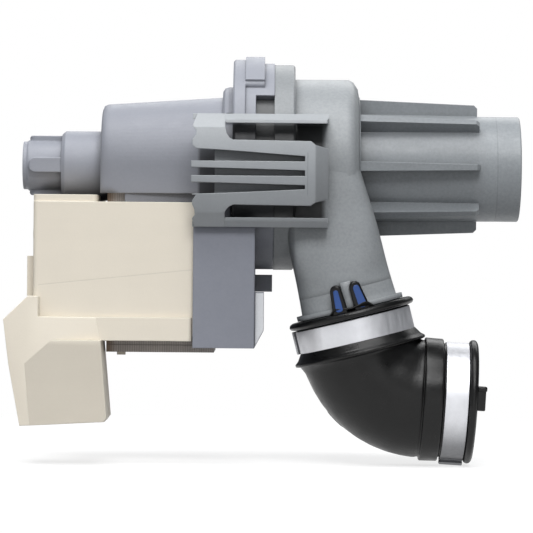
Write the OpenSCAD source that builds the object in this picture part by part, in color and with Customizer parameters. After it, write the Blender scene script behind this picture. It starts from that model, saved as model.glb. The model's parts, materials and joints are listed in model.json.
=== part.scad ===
// Dishwasher circulation pump: a canned single-phase motor with a U core drives a closed
// impeller, water enters the ribbed pipe on the right and leaves by the rubber elbow below.
// The origin is the centre of the suction mouth, +X points out of it along the rotor axis,
// +Z is up and -Y is the front, where the discharge duct and the latch bracket are.

/* [Suction pipe] */
// Outer diameter of the suction pipe
pipe_d = 46; // [43:0.5:50]
// Wall of the suction pipe
pipe_wall = 3; // [2:0.1:4]
// Length of the pipe from the volute face to its mouth
pipe_length = 70; // [60:1:90]
// Number of stiffening ribs round the pipe
pipe_ribs = 8; // [6:1:10]
// Height of each rib above the pipe at the volute
rib_root_height = 7; // [4:0.5:8]
// Height of each rib above the pipe at its free end
rib_tip_height = 5; // [2:0.5:6]
// Thickness of each rib at the volute
rib_root_thickness = 4.2; // [3:0.2:5]
// Thickness of each rib at its free end
rib_tip_thickness = 2.6; // [2:0.2:3.4]
// Smooth length at the mouth, from the ribs to the end
plain_length = 18.2; // [14:0.2:25]
// Length of the cylindrical land at the mouth that a hose or seal grips
land_length = 10.4; // [8:0.2:12]
// Growth of the pipe's radius from that land to the volute
pipe_draft = 0.6; // [0.4:0.1:1]

/* [Volute] */
// Outer diameter of the volute chamber
volute_d = 77.4; // [75:0.5:82]
// Length of the volute from its face to its flange
volute_length = 28.3; // [27:0.5:34]
// Wall of the volute, its face and its flange spigot
volute_wall = 3; // [2.4:0.1:3.6]
// Radius of the rounding at the rim of the volute face
volute_round = 4; // [3:0.2:4.6]
// Step from the motor flange down to the volute flange
flange_step = 0.6; // [0.2:0.1:1]
// Width of the volute flange
flange_width = 9; // [7:0.5:12]
// Depth to which the volute spigot enters the motor flange
spigot_depth = 10.8; // [10:0.2:11.2]

/* [Discharge duct] */
// Tilt of the duct away from the vertical
duct_tilt = 14; // [10:0.5:18]
// Distance from the rotor axis forward to the duct axis
duct_offset = 20; // [17:0.5:21]
// Diameter of the duct spigot inside the rubber elbow
duct_d = 42.2; // [39:0.2:44]
// Wall of the duct
duct_wall = 2.6; // [2:0.1:3.2]
// Half angle by which the duct widens downward
duct_flare = 3.9; // [3:0.1:4.5]
// Diameter of the stop collar above the elbow
collar_d = 46.8; // [46:0.2:50]
// Width of the key rib that sets the elbow's direction
key_width = 4.4; // [3:0.2:6]

/* [Rubber elbow] */
// Distance from the suction mouth back to the point where the elbow's axes cross
elbow_back = 64.4; // [60:0.5:68]
// Distance from the rotor axis down to that point
elbow_drop = 99.2; // [96:0.5:110]
// Radius of the elbow's bend along its axis
bend_r = 29.6; // [28.5:0.2:31]
// Downward tilt of the elbow's outlet
outlet_tilt = 3; // [0:0.5:6]
// Bore of the elbow and its outlet cuff
elbow_bore = 42.4; // [41:0.2:43]
// Rubber wall of the elbow
elbow_wall = 3.4; // [2.6:0.1:4]
// Outer diameter of the lips at both ends
lip_d = 55.2; // [54:0.2:58]
// Outer diameter of the bead under the inlet clamp
bead_d = 57.6; // [56:0.2:60]

/* [Clamps] */
// Width of each clamp band
clamp_width = 10; // [7:0.5:10]
// Thickness of the clamp band
clamp_band = 0.6; // [0.5:0.1:1]
// Height of the crimped ear above the band
ear_height = 2.4; // [1.5:0.1:4]
// Distance from the bend's end to the outlet cuff's thick ring
ring_setback = 2.2; // [1.4:0.1:3]
// Width of the thick ring at the start of the outlet cuff
outlet_ring_width = 5.8; // [4:0.2:7]
// Gap between that ring and the outlet clamp
ring_clamp_gap = 1.1; // [0.6:0.1:2]

/* [Motor casing] */
// Diameter of the motor flange
motor_flange_d = 91.2; // [89:0.2:98]
// Width of the motor flange, claws included
motor_flange_width = 17.9; // [16:0.5:22]
// Length of the stator barrel left of the flange
barrel_length = 57.2; // [55.5:0.2:62]
// Room between the core and the inside of the barrel at its far end
barrel_room = 0.6; // [0.4:0.1:1.5]
// Growth of the barrel's radius from its far end to the flange
barrel_growth = 3.7; // [2:0.1:5]
// Distance from the rotor axis down to the barrel's lower edge
barrel_drop = 12.4; // [11:0.2:13.4]
// Wall of the motor casing
casing_wall = 2; // [1.6:0.1:2.2]
// Number of claws that lock the motor flange to the volute
claw_count = 3; // [3:1:4]
// Angle that each claw spans
claw_span = 78; // [50:1:82]

/* [Rotor can] */
// Outer diameter of the can that keeps the water off the stator
can_d = 30.4; // [29.6:0.1:30.6]
// Wall of the can
can_wall = 1.2; // [1:0.1:1.4]
// Visible length of the can left of the barrel
can_tail = 17.8; // [16:0.2:22]
// Diameter of the ribbed stub that holds the rear bearing
stub_d = 22.2; // [21:0.2:24]
// Length of the stub
stub_length = 17; // [15.5:0.5:20]
// Height of the four stub ribs
stub_rib = 1.9; // [1:0.1:2.2]

/* [Rotor] */
// Shaft diameter
shaft_d = 6; // [5:0.2:6.4]
// Diameter of the rotor magnet
magnet_d = 26; // [22:0.2:26.4]
// Length of the rotor magnet
magnet_length = 46; // [40:1:48]
// Outer diameter of the ceramic bearing bushes
bush_d = 11; // [10:0.2:12]
// Length of each bearing bush
bush_length = 9; // [7:0.5:10]

/* [Impeller] */
// Impeller diameter
impeller_d = 58; // [50:1:60]
// Number of vanes
vane_count = 6; // [5:1:7]
// Width of the water passage between the impeller's discs
vane_width = 13; // [9:0.5:13]
// Thickness of each vane
vane_thickness = 1.8; // [1.4:0.1:2.4]
// Diameter of the impeller's eye ring
eye_d = 29; // [27:0.5:30]
// Angle that the drive dog and the stop lug each span
dog_span = 60; // [40:1:70]

/* [Stator] */
// Length of the lamination stack along the rotor axis
stack_length = 46.5; // [44:0.5:48]
// Outer width of the core across its legs
core_width = 49; // [46:0.5:49.4]
// Width of each core leg
leg_width = 13.5; // [12:0.5:15]
// Distance from the rotor axis down to the bottom of the core
core_drop = 81; // [79.6:0.2:84]
// Height of the core's lower yoke
yoke_height = 14; // [12:0.5:15]
// Height of each coil former
bobbin_height = 46; // [40:1:48]
// Thickness of the winding on each leg
winding_depth = 7.6; // [6:0.2:8]

/* [Coil cover and connector] */
// Length of the coil cover left of the shroud
cover_length = 68.5; // [66:0.5:72]
// Half depth of the coil cover from front to back
cover_half_depth = 40; // [39:0.5:41]
// Distance from the rotor axis down to the cover's top over the core
cover_top_drop = 16.4; // [16:0.2:19]
// Distance from the rotor axis down to the cover's raised top beside the barrel
cover_raised_drop = 13.4; // [12:0.2:15]
// Distance from the rotor axis down to the cover's lower edge
cover_bottom_drop = 75.8; // [74:0.2:77]
// Height of the thicker skirt along the cover's lower edge
skirt_height = 10; // [7:0.5:14]
// Depth of the connector housing from front to back
socket_depth = 34; // [28:1:40]
// Wall of the connector housing
socket_wall = 2.4; // [1.8:0.1:3]
// Distance that the connector housing reaches right of the cover's left end
socket_reach = 31; // [29:0.5:34]
// Distance that the connector housing hangs below the cover's lower edge
socket_height = 36.8; // [32:0.4:42]
// Number of terminal blades in the connector
blade_count = 4; // [2:1:5]

/* [Stator shroud] */
// Length of the grey shroud along the rotor axis
shroud_length = 26.4; // [25.5:0.2:30]
// Half depth of the shroud from front to back
shroud_half_depth = 43; // [42.8:0.1:45]
// Distance from the rotor axis down to the shroud's top
shroud_top_drop = 25.9; // [25.6:0.1:28]
// Distance from the rotor axis down to the shroud's lower edge
shroud_bottom_drop = 78.6; // [77:0.2:82]

/* [Latch bracket] */
// Distance from the motor flange forward to the bracket's front plane
bracket_reach = 6.4; // [6:0.1:10]
// Length of the bracket's slotted rails
rail_length = 44; // [40:0.5:44.4]
// Length of the bracket's closed block left of the slots
block_length = 13.8; // [12:0.2:18]
// Thickness of the latch tongue
tongue_thickness = 2.4; // [1.8:0.1:3]
// Distance between the outer faces of the two rails
rail_spread = 48.2; // [46:0.2:50]

/* [Fits] */
// Radial clearance of the shaft in its bushes
running_fit = 0.05; // [0.02:0.01:0.09]
// Clearance between pieces that sit in one another
seat_gap = 0.1; // [0.05:0.05:0.2]
// Gap between moving and fixed pieces
moving_gap = 0.4; // [0.3:0.05:0.6]

/* [Hidden] */

round_fn = 96;
hull_fn = 32;
eps = 0.01;

pipe_r = pipe_d / 2;
pipe_bore_r = pipe_r - pipe_wall;
rib_root_r = pipe_r + rib_root_height;

// Stations along the rotor axis, from the mouth to the far end
face_x = -pipe_length;
flange_right_x = face_x - volute_length;
flange_left_x = flange_right_x - flange_width;
casing_left_x = flange_left_x - motor_flange_width;
barrel_left_x = casing_left_x - barrel_length;
tail_left_x = barrel_left_x - can_tail;
stub_left_x = tail_left_x - stub_length;

volute_r = volute_d / 2;
motor_flange_r = motor_flange_d / 2;
flange_r = motor_flange_r - flange_step;
chamber_r = volute_r - volute_wall;
face_inner_x = face_x - volute_wall;
root_disc_r = rib_root_r + 1.2;
root_disc_thickness = volute_wall - 0.5;
neck_length = 8;
neck_wall = 2.4;
eye_r = eye_d / 2;
ring_wall = 2;
ring_inner_r = eye_r + moving_gap;
ring_outer_r = ring_inner_r + ring_wall;
neck_outer_r = ring_outer_r + seat_gap + neck_wall;
ring_length = neck_length - 1;

core_half = core_width / 2;
barrel_small_r = core_half + barrel_room + casing_wall;
barrel_large_r = barrel_small_r + barrel_growth;

// Motor flange, its claws and the volute spigot inside them
web_thickness = 2.6;
web_right_x = casing_left_x + web_thickness;
claw_width = 8;
claw_left_x = flange_left_x - claw_width;
rim_wall = 2.8;
rim_inner_r = motor_flange_r - rim_wall;
spigot_outer_r = rim_inner_r - seat_gap - 0.1;
spigot_inner_r = spigot_outer_r - volute_wall - 2;
spigot_left_x = flange_left_x - spigot_depth;
seal_d = 2.6;
seal_shoulder_x = spigot_left_x + seal_d;
seal_seat_depth = seal_d * 0.8;
pad_r = motor_flange_r + 1.6;
strap_thickness = 2.9;
strap_r = motor_flange_r + strap_thickness;
foot_half = 7;
foot_height = 9;

// Can, bearing plate and bearings
disc_thickness = 1.8;
impeller_width = vane_width + 2 * disc_thickness;
impeller_gap = 0.8;
impeller_room = neck_length - volute_wall + 2.6;
can_r = can_d / 2;
can_inner_r = can_r - can_wall;
can_flange_r = can_r + 10;
can_flange_thickness = 2.4;
can_flange_right_x = web_right_x + can_flange_thickness;
stub_r = stub_d / 2;
stub_floor = 2;
shaft_r = shaft_d / 2;
bush_r = bush_d / 2;
mount_r = bush_r + 1.8;
rear_bush_x = stub_left_x + stub_floor + 2;
plate_r = spigot_outer_r;
plate_thickness = 2.6;
plate_left_x = can_flange_right_x;
plate_right_x = plate_left_x + plate_thickness;
hat_r = 30;
hat_wall = 2.4;
magnet_r = magnet_d / 2;
cap_thickness = 3;
magnet_left_x = barrel_left_x + 3.4;
magnet_right_x = magnet_left_x + magnet_length;
hat_right_x = face_inner_x - impeller_room - impeller_width - 2 * impeller_gap;
front_bush_x = hat_right_x - hat_wall - 0.5 - bush_length;

// Impeller
impeller_r = impeller_d / 2;
back_disc_x = hat_right_x + 2 * impeller_gap;
vane_left_x = back_disc_x + disc_thickness;
vane_right_x = vane_left_x + vane_width;
front_disc_right_x = vane_right_x + disc_thickness;
hub_r = 10.5;
hub_right_x = vane_left_x + 11;
dog_r = 7.6;
dog_inner_r = shaft_r + 1.5;
cavity_r = dog_r + moving_gap;
cavity_right_x = vane_left_x + 6;
eye_inner_r = eye_r - 1.6;
ring_end_x = face_x - neck_length + ring_length - moving_gap;
shaft_left_x = rear_bush_x - 0.5;
shaft_right_x = hub_right_x - 1.5;
dog_left_x = back_disc_x + moving_gap;
dog_right_x = cavity_right_x - moving_gap;
rest_play = 2;

// Stator
rivet_head = 0.8;
stack_left_x = barrel_left_x + casing_wall + rivet_head + 0.4;
stack_right_x = stack_left_x + stack_length;
leg_inner = core_half - leg_width;
bobbin_wall = 1.2;
bobbin_top_z = -cover_top_drop - 2.6;
bobbin_bottom_z = bobbin_top_z - bobbin_height;
former_gap = 0.2;
former_wall_out = former_gap + bobbin_wall;
winding_end = casing_left_x - 0.6 - stack_right_x - former_wall_out;

rivet_r = 1.5;
rivet_spots = [
  [-core_half + leg_width / 2, -core_drop + yoke_height / 2],
  [core_half - leg_width / 2, -core_drop + yoke_height / 2],
  [-(core_half + can_r) / 2, 0], [(core_half + can_r) / 2, 0]
];

// Coil cover, connector and shroud
shroud_right_x = casing_left_x + 10;
shroud_left_x = shroud_right_x - shroud_length;
cover_right_x = shroud_left_x + 2;
cover_left_x = shroud_left_x - cover_length;
cover_wall = 2.2;
cover_round = 2;
cover_skin = 1.6;
tray_floor = 2;
leg_pass = 0.3;
socket_front_y = -shroud_half_depth - 2;
socket_back_y = socket_front_y + socket_depth;
socket_roof_z = -cover_bottom_drop - 5;
band_top_z = -cover_bottom_drop + 18.8;
socket_bottom_z = -cover_bottom_drop - socket_height;
socket_right_x = cover_left_x + socket_reach;
hook_width = 3.7;
socket_left_x = cover_left_x - 3.4;

// Latch bracket
bracket_front = motor_flange_r + bracket_reach;
bracket_tip_x = face_x - 14.2;
bracket_slot_x = bracket_tip_x - rail_length;
bracket_left_x = bracket_slot_x - block_length;
rail_mid_z = -2.7;
slab_top = rail_mid_z + rail_spread / 2 - 6;
slab_bottom = rail_mid_z - rail_spread / 2 + 5.9;
floor_y = -motor_flange_r - 0.5;
floor_wall = 1.2;
floor_left_x = bracket_slot_x - 4.4;

// Duct and elbow: distances are measured from the point where the elbow's axes cross
duct_r = duct_d / 2;
corner = [-elbow_back, -duct_offset, -elbow_drop];
bend_angle = 90 - duct_tilt - outlet_tilt;
bend_reach = bend_r * tan(bend_angle / 2);
cuff_r = elbow_bore / 2 + elbow_wall;
bore_r = elbow_bore / 2;
bend_outer_r = cuff_r - 0.3;
bend_bore_r = bore_r - 0.4;
bead_top = 2.4;
bead_drop = 2.6;
inlet_clamp_at = bend_reach + bead_top + 0.2 + clamp_width / 2;
lip_length = 3.4;
inlet_end = inlet_clamp_at + clamp_width / 2 + 0.3 + lip_length;
outlet_ring_end = bend_reach + ring_setback + outlet_ring_width;
outlet_clamp_at = outlet_ring_end + ring_clamp_gap + clamp_width / 2;
outlet_end = outlet_clamp_at + clamp_width / 2 + 0.4 + lip_length;
outlet_ring_r = cuff_r + 2.2;
collar_width = 2;
duct_top = (elbow_drop - 2) / cos(duct_tilt);
duct_top_r = duct_r - (duct_top - inlet_end) * tan(duct_flare);
duct_plain_end = bend_reach + 2;
bend_centre = [
  corner[0] - bend_reach * sin(duct_tilt) + bend_r * cos(duct_tilt),
  corner[1],
  corner[2] + bend_reach * cos(duct_tilt) + bend_r * sin(duct_tilt)
];

motor_grey = [0.64, 0.65, 0.69];
pump_grey = [0.58, 0.60, 0.61];
pipe_grey = [0.52, 0.54, 0.57];
cream = [0.87, 0.84, 0.78];
black_rubber = [0.18, 0.18, 0.18];
steel = [0.82, 0.83, 0.85];
copper = [0.72, 0.42, 0.22];
ceramic = [0.92, 0.91, 0.88];

// Turns a profile of [radius, x] points round the rotor axis
module turned(fn = round_fn) {
  rotate([0, 90, 0]) rotate_extrude($fn = fn) children();
}

// A ring round the rotor axis from x0 to x1
module ring(x0, x1, r_out, r_in) {
  turned() translate([r_in, x0]) square([r_out - r_in, x1 - x0]);
}

// A cylinder along the rotor axis from x0 to x1
module rod(x0, x1, r) {
  translate([x0, 0, 0]) rotate([0, 90, 0]) cylinder(h = x1 - x0, r = r, $fn = round_fn);
}

// Extrudes a [y, z] outline along X from x0 to x1
module along_x(x0, x1) {
  translate([x0, 0, 0]) rotate([90, 0, 90]) linear_extrude(x1 - x0) children();
}

// Extrudes an [x, z] outline along Y from y0 to y1
module along_y(y0, y1) {
  translate([0, y1, 0]) rotate([90, 0, 0]) linear_extrude(y1 - y0) children();
}

// Extrudes an [x, y] outline along Z from z0 to z1
module along_z(z0, z1) {
  translate([0, 0, z0]) linear_extrude(z1 - z0) children();
}

// A box between two corners
module block(a, b) {
  translate(a) cube(b - a);
}

// A rectangle from corner a to corner b with round corners
module round_rect(a, b, r) {
  translate([a[0] + r, a[1]]) square([b[0] - a[0] - 2 * r, b[1] - a[1]]);
  translate([a[0], a[1] + r]) square([b[0] - a[0], b[1] - a[1] - 2 * r]);
  for (x = [a[0] + r, b[0] - r])
    for (y = [a[1] + r, b[1] - r])
      translate([x, y]) circle(r = r, $fn = hull_fn);
}

// A wedge of the [y, z] plane between two angles, 0 at the front and 90 at the top
module sector(from, to, r) {
  steps = 4;
  step = (to - from) / steps;
  points = [for (i = [0:steps]) [-r * cos(from + i * step), r * sin(from + i * step)]];
  polygon(concat([[0, 0]], points));
}

// Local Z runs up the duct's axis from the elbow's corner
module duct_frame() {
  translate(corner) rotate([0, -duct_tilt, 0]) children();
}

// Local Z runs out along the elbow's outlet from its corner
module outlet_frame() {
  translate(corner) rotate([0, 90 + outlet_tilt, 0]) children();
}

// A disc or tube about the local Z axis
module band(z0, z1, r) {
  translate([0, 0, z0]) cylinder(h = z1 - z0, r = r, $fn = round_fn);
}

// The duct's outside or, with an inset, its bore
module duct_cone(inset, top) {
  duct_frame() translate([0, 0, inlet_end])
    cylinder(h = top - inlet_end, r1 = duct_r - inset, r2 = duct_top_r - inset, $fn = round_fn);
}

// Chamber and flange ring as one turned wall, closed on the right by the rounded face
module volute_wall_profile() {
  outer = volute_r - volute_round;
  polygon([
    [root_disc_r, face_inner_x], [root_disc_r, face_x - 0.3], [outer, face_x - 0.9],
    [volute_r - volute_round / 4, face_x - 0.9 - volute_round / 2],
    [volute_r, face_x - 0.9 - volute_round], [volute_r, flange_right_x],
    [flange_r - 0.8, flange_right_x], [flange_r, flange_right_x - 0.8],
    [flange_r, flange_left_x], [spigot_outer_r, flange_left_x],
    [spigot_outer_r, spigot_left_x], [spigot_inner_r, spigot_left_x],
    [spigot_inner_r, flange_left_x], [chamber_r, flange_left_x],
    [chamber_r, face_inner_x]
  ]);
}

// Ledge that carries the suction pipe's root disc
module root_ledge_profile() {
  ledge_x = face_x - root_disc_thickness;
  translate([root_disc_r - 3, face_inner_x]) square([3 + eps, ledge_x - face_inner_x]);
}

// Step at the spigot's end that the seal sits on, with the bearing plate as its other side
module volute_seal_seat() {
  ring(spigot_left_x - 1, seal_shoulder_x, spigot_outer_r + 1, spigot_outer_r - seal_seat_depth);
}

module volute_housing() {
  key_top = inlet_end + 12;
  color(pump_grey) difference() {
    union() {
      turned() volute_wall_profile();
      turned() root_ledge_profile();
      difference() {
        duct_cone(0, duct_top);
        rod(face_inner_x - 10, 0, root_disc_r - 2);
      }
      duct_frame() band(duct_plain_end, inlet_end + eps, duct_r);
      duct_frame() band(inlet_end + 0.4, inlet_end + 0.4 + collar_width, collar_d / 2);
      duct_frame() translate([-key_width / 2, -duct_r - 2.2, inlet_end + 0.6])
        cube([key_width, 6, key_top - inlet_end]);
    }
    duct_cone(duct_wall, duct_top - 6);
    duct_frame() band(duct_plain_end - 1, inlet_end + 2 * eps, duct_r - duct_wall);
    ring(flange_left_x - eps, face_inner_x, chamber_r, 0);
    ring(spigot_left_x - 10, flange_left_x, spigot_inner_r, 0);
    rod(face_x - root_disc_thickness, 0, root_disc_r + seat_gap);
    volute_seal_seat();
  }
}

// The rib's plan: wide at the volute and narrow at its tip
module rib_plan() {
  tip = -plain_length;
  along_z(pipe_r - 1, rib_root_r + 1) polygon([
    [face_x - eps, -rib_root_thickness / 2], [tip + eps, -rib_tip_thickness / 2],
    [tip + eps, rib_tip_thickness / 2], [face_x - eps, rib_root_thickness / 2]
  ]);
}

// The rib's side view: high at the volute, with a blunt tip
module rib_side() {
  tip = -plain_length;
  along_y(-rib_root_thickness, rib_root_thickness) polygon([
    [face_x - eps, pipe_r - 1], [tip, pipe_r - 1], [tip, pipe_r + rib_tip_height - 1.4],
    [tip - 1.4, pipe_r + rib_tip_height], [face_x - eps, rib_root_r]
  ]);
}

module suction_pipe() {
  mouth_round = 1;
  edge_break = 0.4;
  color(pipe_grey) {
    turned() polygon([
      [pipe_bore_r, face_x], [pipe_bore_r, -mouth_round], [pipe_bore_r + mouth_round, 0],
      [pipe_r - edge_break, 0], [pipe_r, -edge_break], [pipe_r, -land_length],
      [pipe_r + pipe_draft, face_x],
      [root_disc_r, face_x], [root_disc_r, face_x - root_disc_thickness],
      [neck_outer_r, face_x - root_disc_thickness],
      [neck_outer_r, face_x - neck_length], [neck_outer_r - neck_wall, face_x - neck_length],
      [neck_outer_r - neck_wall, face_x - neck_length + ring_length + seat_gap],
      [ring_inner_r, face_x - neck_length + ring_length + seat_gap], [ring_inner_r, face_x]
    ]);
    for (i = [0:pipe_ribs - 1])
      rotate([i * 360 / pipe_ribs, 0, 0]) intersection() {
        rib_plan();
        rib_side();
      }
  }
}

module wear_ring() {
  color(ceramic) ring(face_x - neck_length, face_x - neck_length + ring_length,
                      ring_outer_r, ring_inner_r);
}

// The bracket's tongue seen from the front, between its two slots
module tongue_outline() {
  left = bracket_left_x;
  root = bracket_slot_x;
  tip = bracket_tip_x;
  neck = tip - 7.5;
  polygon([
    [left, slab_top], [root, slab_top], [root + 0.6, slab_top - 2.6],
    [root + 1.8, slab_top - 4.4], [root + 3.4, slab_top - 5.3], [neck, slab_top - 5.7],
    [neck + 1.9, slab_top - 7.3], [tip, slab_top - 8.9], [tip, slab_bottom + 6],
    [neck + 1.9, slab_bottom + 4.6], [neck, slab_bottom + 3.2],
    [root + 3.8, slab_bottom + 3.5], [root + 1.8, slab_bottom + 2.6],
    [root + 0.4, slab_bottom + 1], [root, slab_bottom], [left, slab_bottom]
  ]);
}

// The V-shaped window in the tongue, grown by a margin
module window_outline(margin, left) {
  right = bracket_tip_x - 9.6 + margin;
  polygon([
    [left, 6.5 + margin], [bracket_slot_x + 2, 5.6 + margin], [right, 3.3 + margin],
    [right, -10.7 - margin], [bracket_slot_x + 2, -12.4 - margin], [left, -13 - margin]
  ]);
}

// One long rib of the tongue, a little thicker toward the head
module tongue_rib(z_top, z_bottom) {
  left = bracket_left_x - 0.5;
  right = bracket_tip_x - 9;
  along_y(-bracket_front, floor_y) polygon([
    [left, z_top], [right, z_top], [right, z_bottom - 1.1], [left, z_bottom]
  ]);
}

// Section of a slotted rail, for the upper one; the lower one mirrors it
module rail_section(inset) {
  top = rail_spread / 2;
  polygon([
    [-bracket_front + 2.7, top - 4], [-bracket_front + 2.7, top - 2.6],
    [-bracket_front + 5.5, top], [-bracket_front + 8.5 + inset, top],
    [-bracket_front + 8.5 + inset, top - 2.4], [-bracket_front + 6.5, top - 4]
  ]);
}

module rail_pair(x0, x1, inset) {
  translate([0, 0, rail_mid_z]) {
    along_x(x0, x1) rail_section(inset);
    along_x(x0, x1) mirror([0, 1]) rail_section(inset);
  }
}

// The closed block on the left: a C-shaped shell open to the back
module bracket_block() {
  top = rail_spread / 2;
  wall = 2.4;
  back = -bracket_front + 13.4;
  low_back = -shroud_half_depth - 0.4;
  translate([0, 0, rail_mid_z]) along_x(bracket_left_x, bracket_slot_x) {
    polygon([
      [-bracket_front, top - 6], [-bracket_front + 5.5, top], [back, top], [back, top - wall],
      [-bracket_front + 6.5, top - wall], [-bracket_front + wall, top - 7],
      [-bracket_front + wall, top - 8], [-bracket_front, top - 8]
    ]);
    polygon([
      [-bracket_front, 7.2 - top], [-bracket_front, 5.9 - top], [-bracket_front + 5.5, -top],
      [low_back, -top], [low_back, wall - top], [-bracket_front + 6.5, wall - top],
      [-bracket_front + wall, 6.9 - top], [-bracket_front + wall, 7.2 - top]
    ]);
  }
}

// Shallow steps along the block's left edge
module bracket_notches() {
  x = bracket_left_x;
  top = rail_mid_z + rail_spread / 2;
  bottom = rail_mid_z - rail_spread / 2;
  along_y(-bracket_front - 1, floor_y + 1) polygon([
    [x - 1, top + 1], [x + 2.4, top + 1], [x + 2, top], [x, top - 5.4], [x + 1.7, top - 7.6],
    [x + 1.4, top - 9.4], [x, top - 11.2], [x, top - 13.6], [x + 1.6, top - 15], [x - 1, top - 15]
  ]);
  along_y(-bracket_front - 1, floor_y + 1) polygon([
    [x - 1, bottom + 13.4], [x + 1.6, bottom + 13.4], [x, bottom + 11], [x, bottom + 9.4],
    [x + 1, bottom + 7.2], [x + 1.2, bottom + 5], [x, bottom + 3.4], [x + 1.2, bottom - 1],
    [x - 1, bottom - 1]
  ]);
}

module latch_bracket() {
  head_x = bracket_tip_x - 10;
  color(pump_grey) difference() {
    union() {
      difference() {
        along_y(-bracket_front, -bracket_front + tongue_thickness) tongue_outline();
        along_y(-bracket_front - 1, 0) window_outline(0, bracket_left_x - 1);
      }
      difference() {
        along_y(-bracket_front + tongue_thickness - eps, floor_y) window_outline(1.6, floor_left_x);
        along_y(-bracket_front, floor_y - floor_wall) window_outline(0, floor_left_x - 1);
      }
      tongue_rib(1.1, -1.6);
      tongue_rib(-5.1, -7.9);
      intersection() {
        along_y(-bracket_front, floor_y) tongue_outline();
        along_z(-30, 30) polygon([
          [head_x, -bracket_front], [head_x + 3.8, -bracket_front],
          [bracket_tip_x, -bracket_front + 2.4], [bracket_tip_x, floor_y - 0.4], [head_x, floor_y]
        ]);
      }
      bracket_block();
      rail_pair(bracket_slot_x - eps, bracket_tip_x, 0);
      rail_pair(flange_right_x + 0.6, bracket_tip_x, 16);
    }
    along_z(-60, 60) polygon([
      [bracket_tip_x - 1.2, -bracket_front + 2], [bracket_tip_x + 1, -bracket_front + 2],
      [bracket_tip_x + 1, -bracket_front + 5]
    ]);
    bracket_notches();
    rod(flange_right_x, face_x, volute_r + seat_gap);
    duct_cone(-seat_gap, duct_top);
    along_z(-60, 60) translate([bracket_left_x - 1, -bracket_front + 8.6]) square([4.4, 10]);
  }
}

// Outline of the stator barrel: a half round on straight sides
module barrel_section(r, drop) {
  circle(r = r, $fn = round_fn);
  translate([-r, -drop]) square([2 * r, drop]);
}

module barrel_slab(x, r, drop) {
  along_x(x, x + eps) intersection() {
    barrel_section(r, drop);
    translate([-r, -drop]) square([2 * r, drop + r]);
  }
}

module barrel_shell() {
  end_round = 2.4;
  difference() {
    hull() {
      barrel_slab(barrel_left_x, barrel_small_r - end_round, barrel_drop);
      barrel_slab(barrel_left_x + 0.7, barrel_small_r - end_round * 0.3, barrel_drop);
      barrel_slab(barrel_left_x + end_round, barrel_small_r, barrel_drop);
      barrel_slab(casing_left_x + eps, barrel_large_r, barrel_drop);
    }
    hull() {
      barrel_slab(barrel_left_x + casing_wall, barrel_small_r - casing_wall, barrel_drop + 1);
      barrel_slab(casing_left_x + 2 * eps, barrel_large_r - casing_wall, barrel_drop + 1);
    }
    rod(barrel_left_x - 1, casing_left_x + 1, can_r + seat_gap);
  }
}

// Claw positions are set from the one that shows at the upper front
module claws() {
  for (i = [0:claw_count - 1])
    along_x(claw_left_x - eps, flange_left_x) difference() {
      middle = 80 + i * 360 / claw_count;
      intersection() {
        circle(r = motor_flange_r, $fn = round_fn);
        sector(middle - claw_span / 2, middle + claw_span / 2, motor_flange_r * 1.2);
      }
      circle(r = rim_inner_r, $fn = round_fn);
    }
}

// Locking strap over the flange, with a rolled finger edge at its lower end
module locking_strap() {
  strap_left = casing_left_x + 5.3;
  strap_right = strap_left + 8.3;
  roll_angle = 49.5;
  roll_r = 1.9;
  along_x(strap_left, strap_right) difference() {
    intersection() {
      circle(r = strap_r, $fn = round_fn);
      sector(roll_angle, 104, strap_r * 1.2);
    }
    circle(r = motor_flange_r - 0.5, $fn = round_fn);
  }
  translate([0, -motor_flange_r * cos(roll_angle), motor_flange_r * sin(roll_angle)])
    rod(strap_left - 0.8, strap_right, roll_r);
  intersection() {
    turned() polygon([
      [motor_flange_r - 2, casing_left_x], [pad_r - 0.8, casing_left_x],
      [pad_r, casing_left_x + 0.8], [pad_r, strap_left + eps], [motor_flange_r - 2, strap_left + eps]
    ]);
    along_x(casing_left_x - 1, strap_left + 1) sector(25, 155, pad_r * 1.2);
  }
}

// Walls under the barrel, beside the core, that close the gap above the coil cover
module barrel_skirts() {
  outer = core_half + barrel_room + casing_wall;
  left_x = barrel_left_x + 10.8;
  for (side = [-1, 1])
    block([left_x, side * (outer - casing_wall / 2) - casing_wall / 2, -cover_top_drop + seat_gap],
          [web_right_x, side * (outer - casing_wall / 2) + casing_wall / 2, -barrel_drop + 1]);
}

module motor_casing() {
  shoulder_r = barrel_large_r + 4.3;
  color(motor_grey) {
    barrel_shell();
    barrel_skirts();
    turned() polygon([
      [can_r + seat_gap, casing_left_x], [motor_flange_r - 1, casing_left_x],
      [motor_flange_r, casing_left_x + 1], [motor_flange_r, claw_left_x],
      [rim_inner_r, claw_left_x], [rim_inner_r, web_right_x], [can_r + seat_gap, web_right_x]
    ]);
    claws();
    intersection() {
      turned() polygon([
        [barrel_large_r - 1, casing_left_x + eps], [barrel_large_r - 1, casing_left_x - 4.6],
        [shoulder_r - 2, casing_left_x - 4.6], [shoulder_r - 0.5, casing_left_x - 3.6],
        [shoulder_r, casing_left_x - 2], [shoulder_r, casing_left_x + eps]
      ]);
      along_x(casing_left_x - 6, casing_left_x + 1) sector(40, 140, shoulder_r * 1.5);
    }
    locking_strap();
    block([casing_left_x + 2, -foot_half, -motor_flange_r - foot_height],
          [claw_left_x, foot_half, -motor_flange_r + 1]);
    block([claw_left_x - eps, -foot_half, -motor_flange_r - foot_height],
          [flange_left_x - 0.4, foot_half, -motor_flange_r - 1.6]);
  }
}

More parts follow.
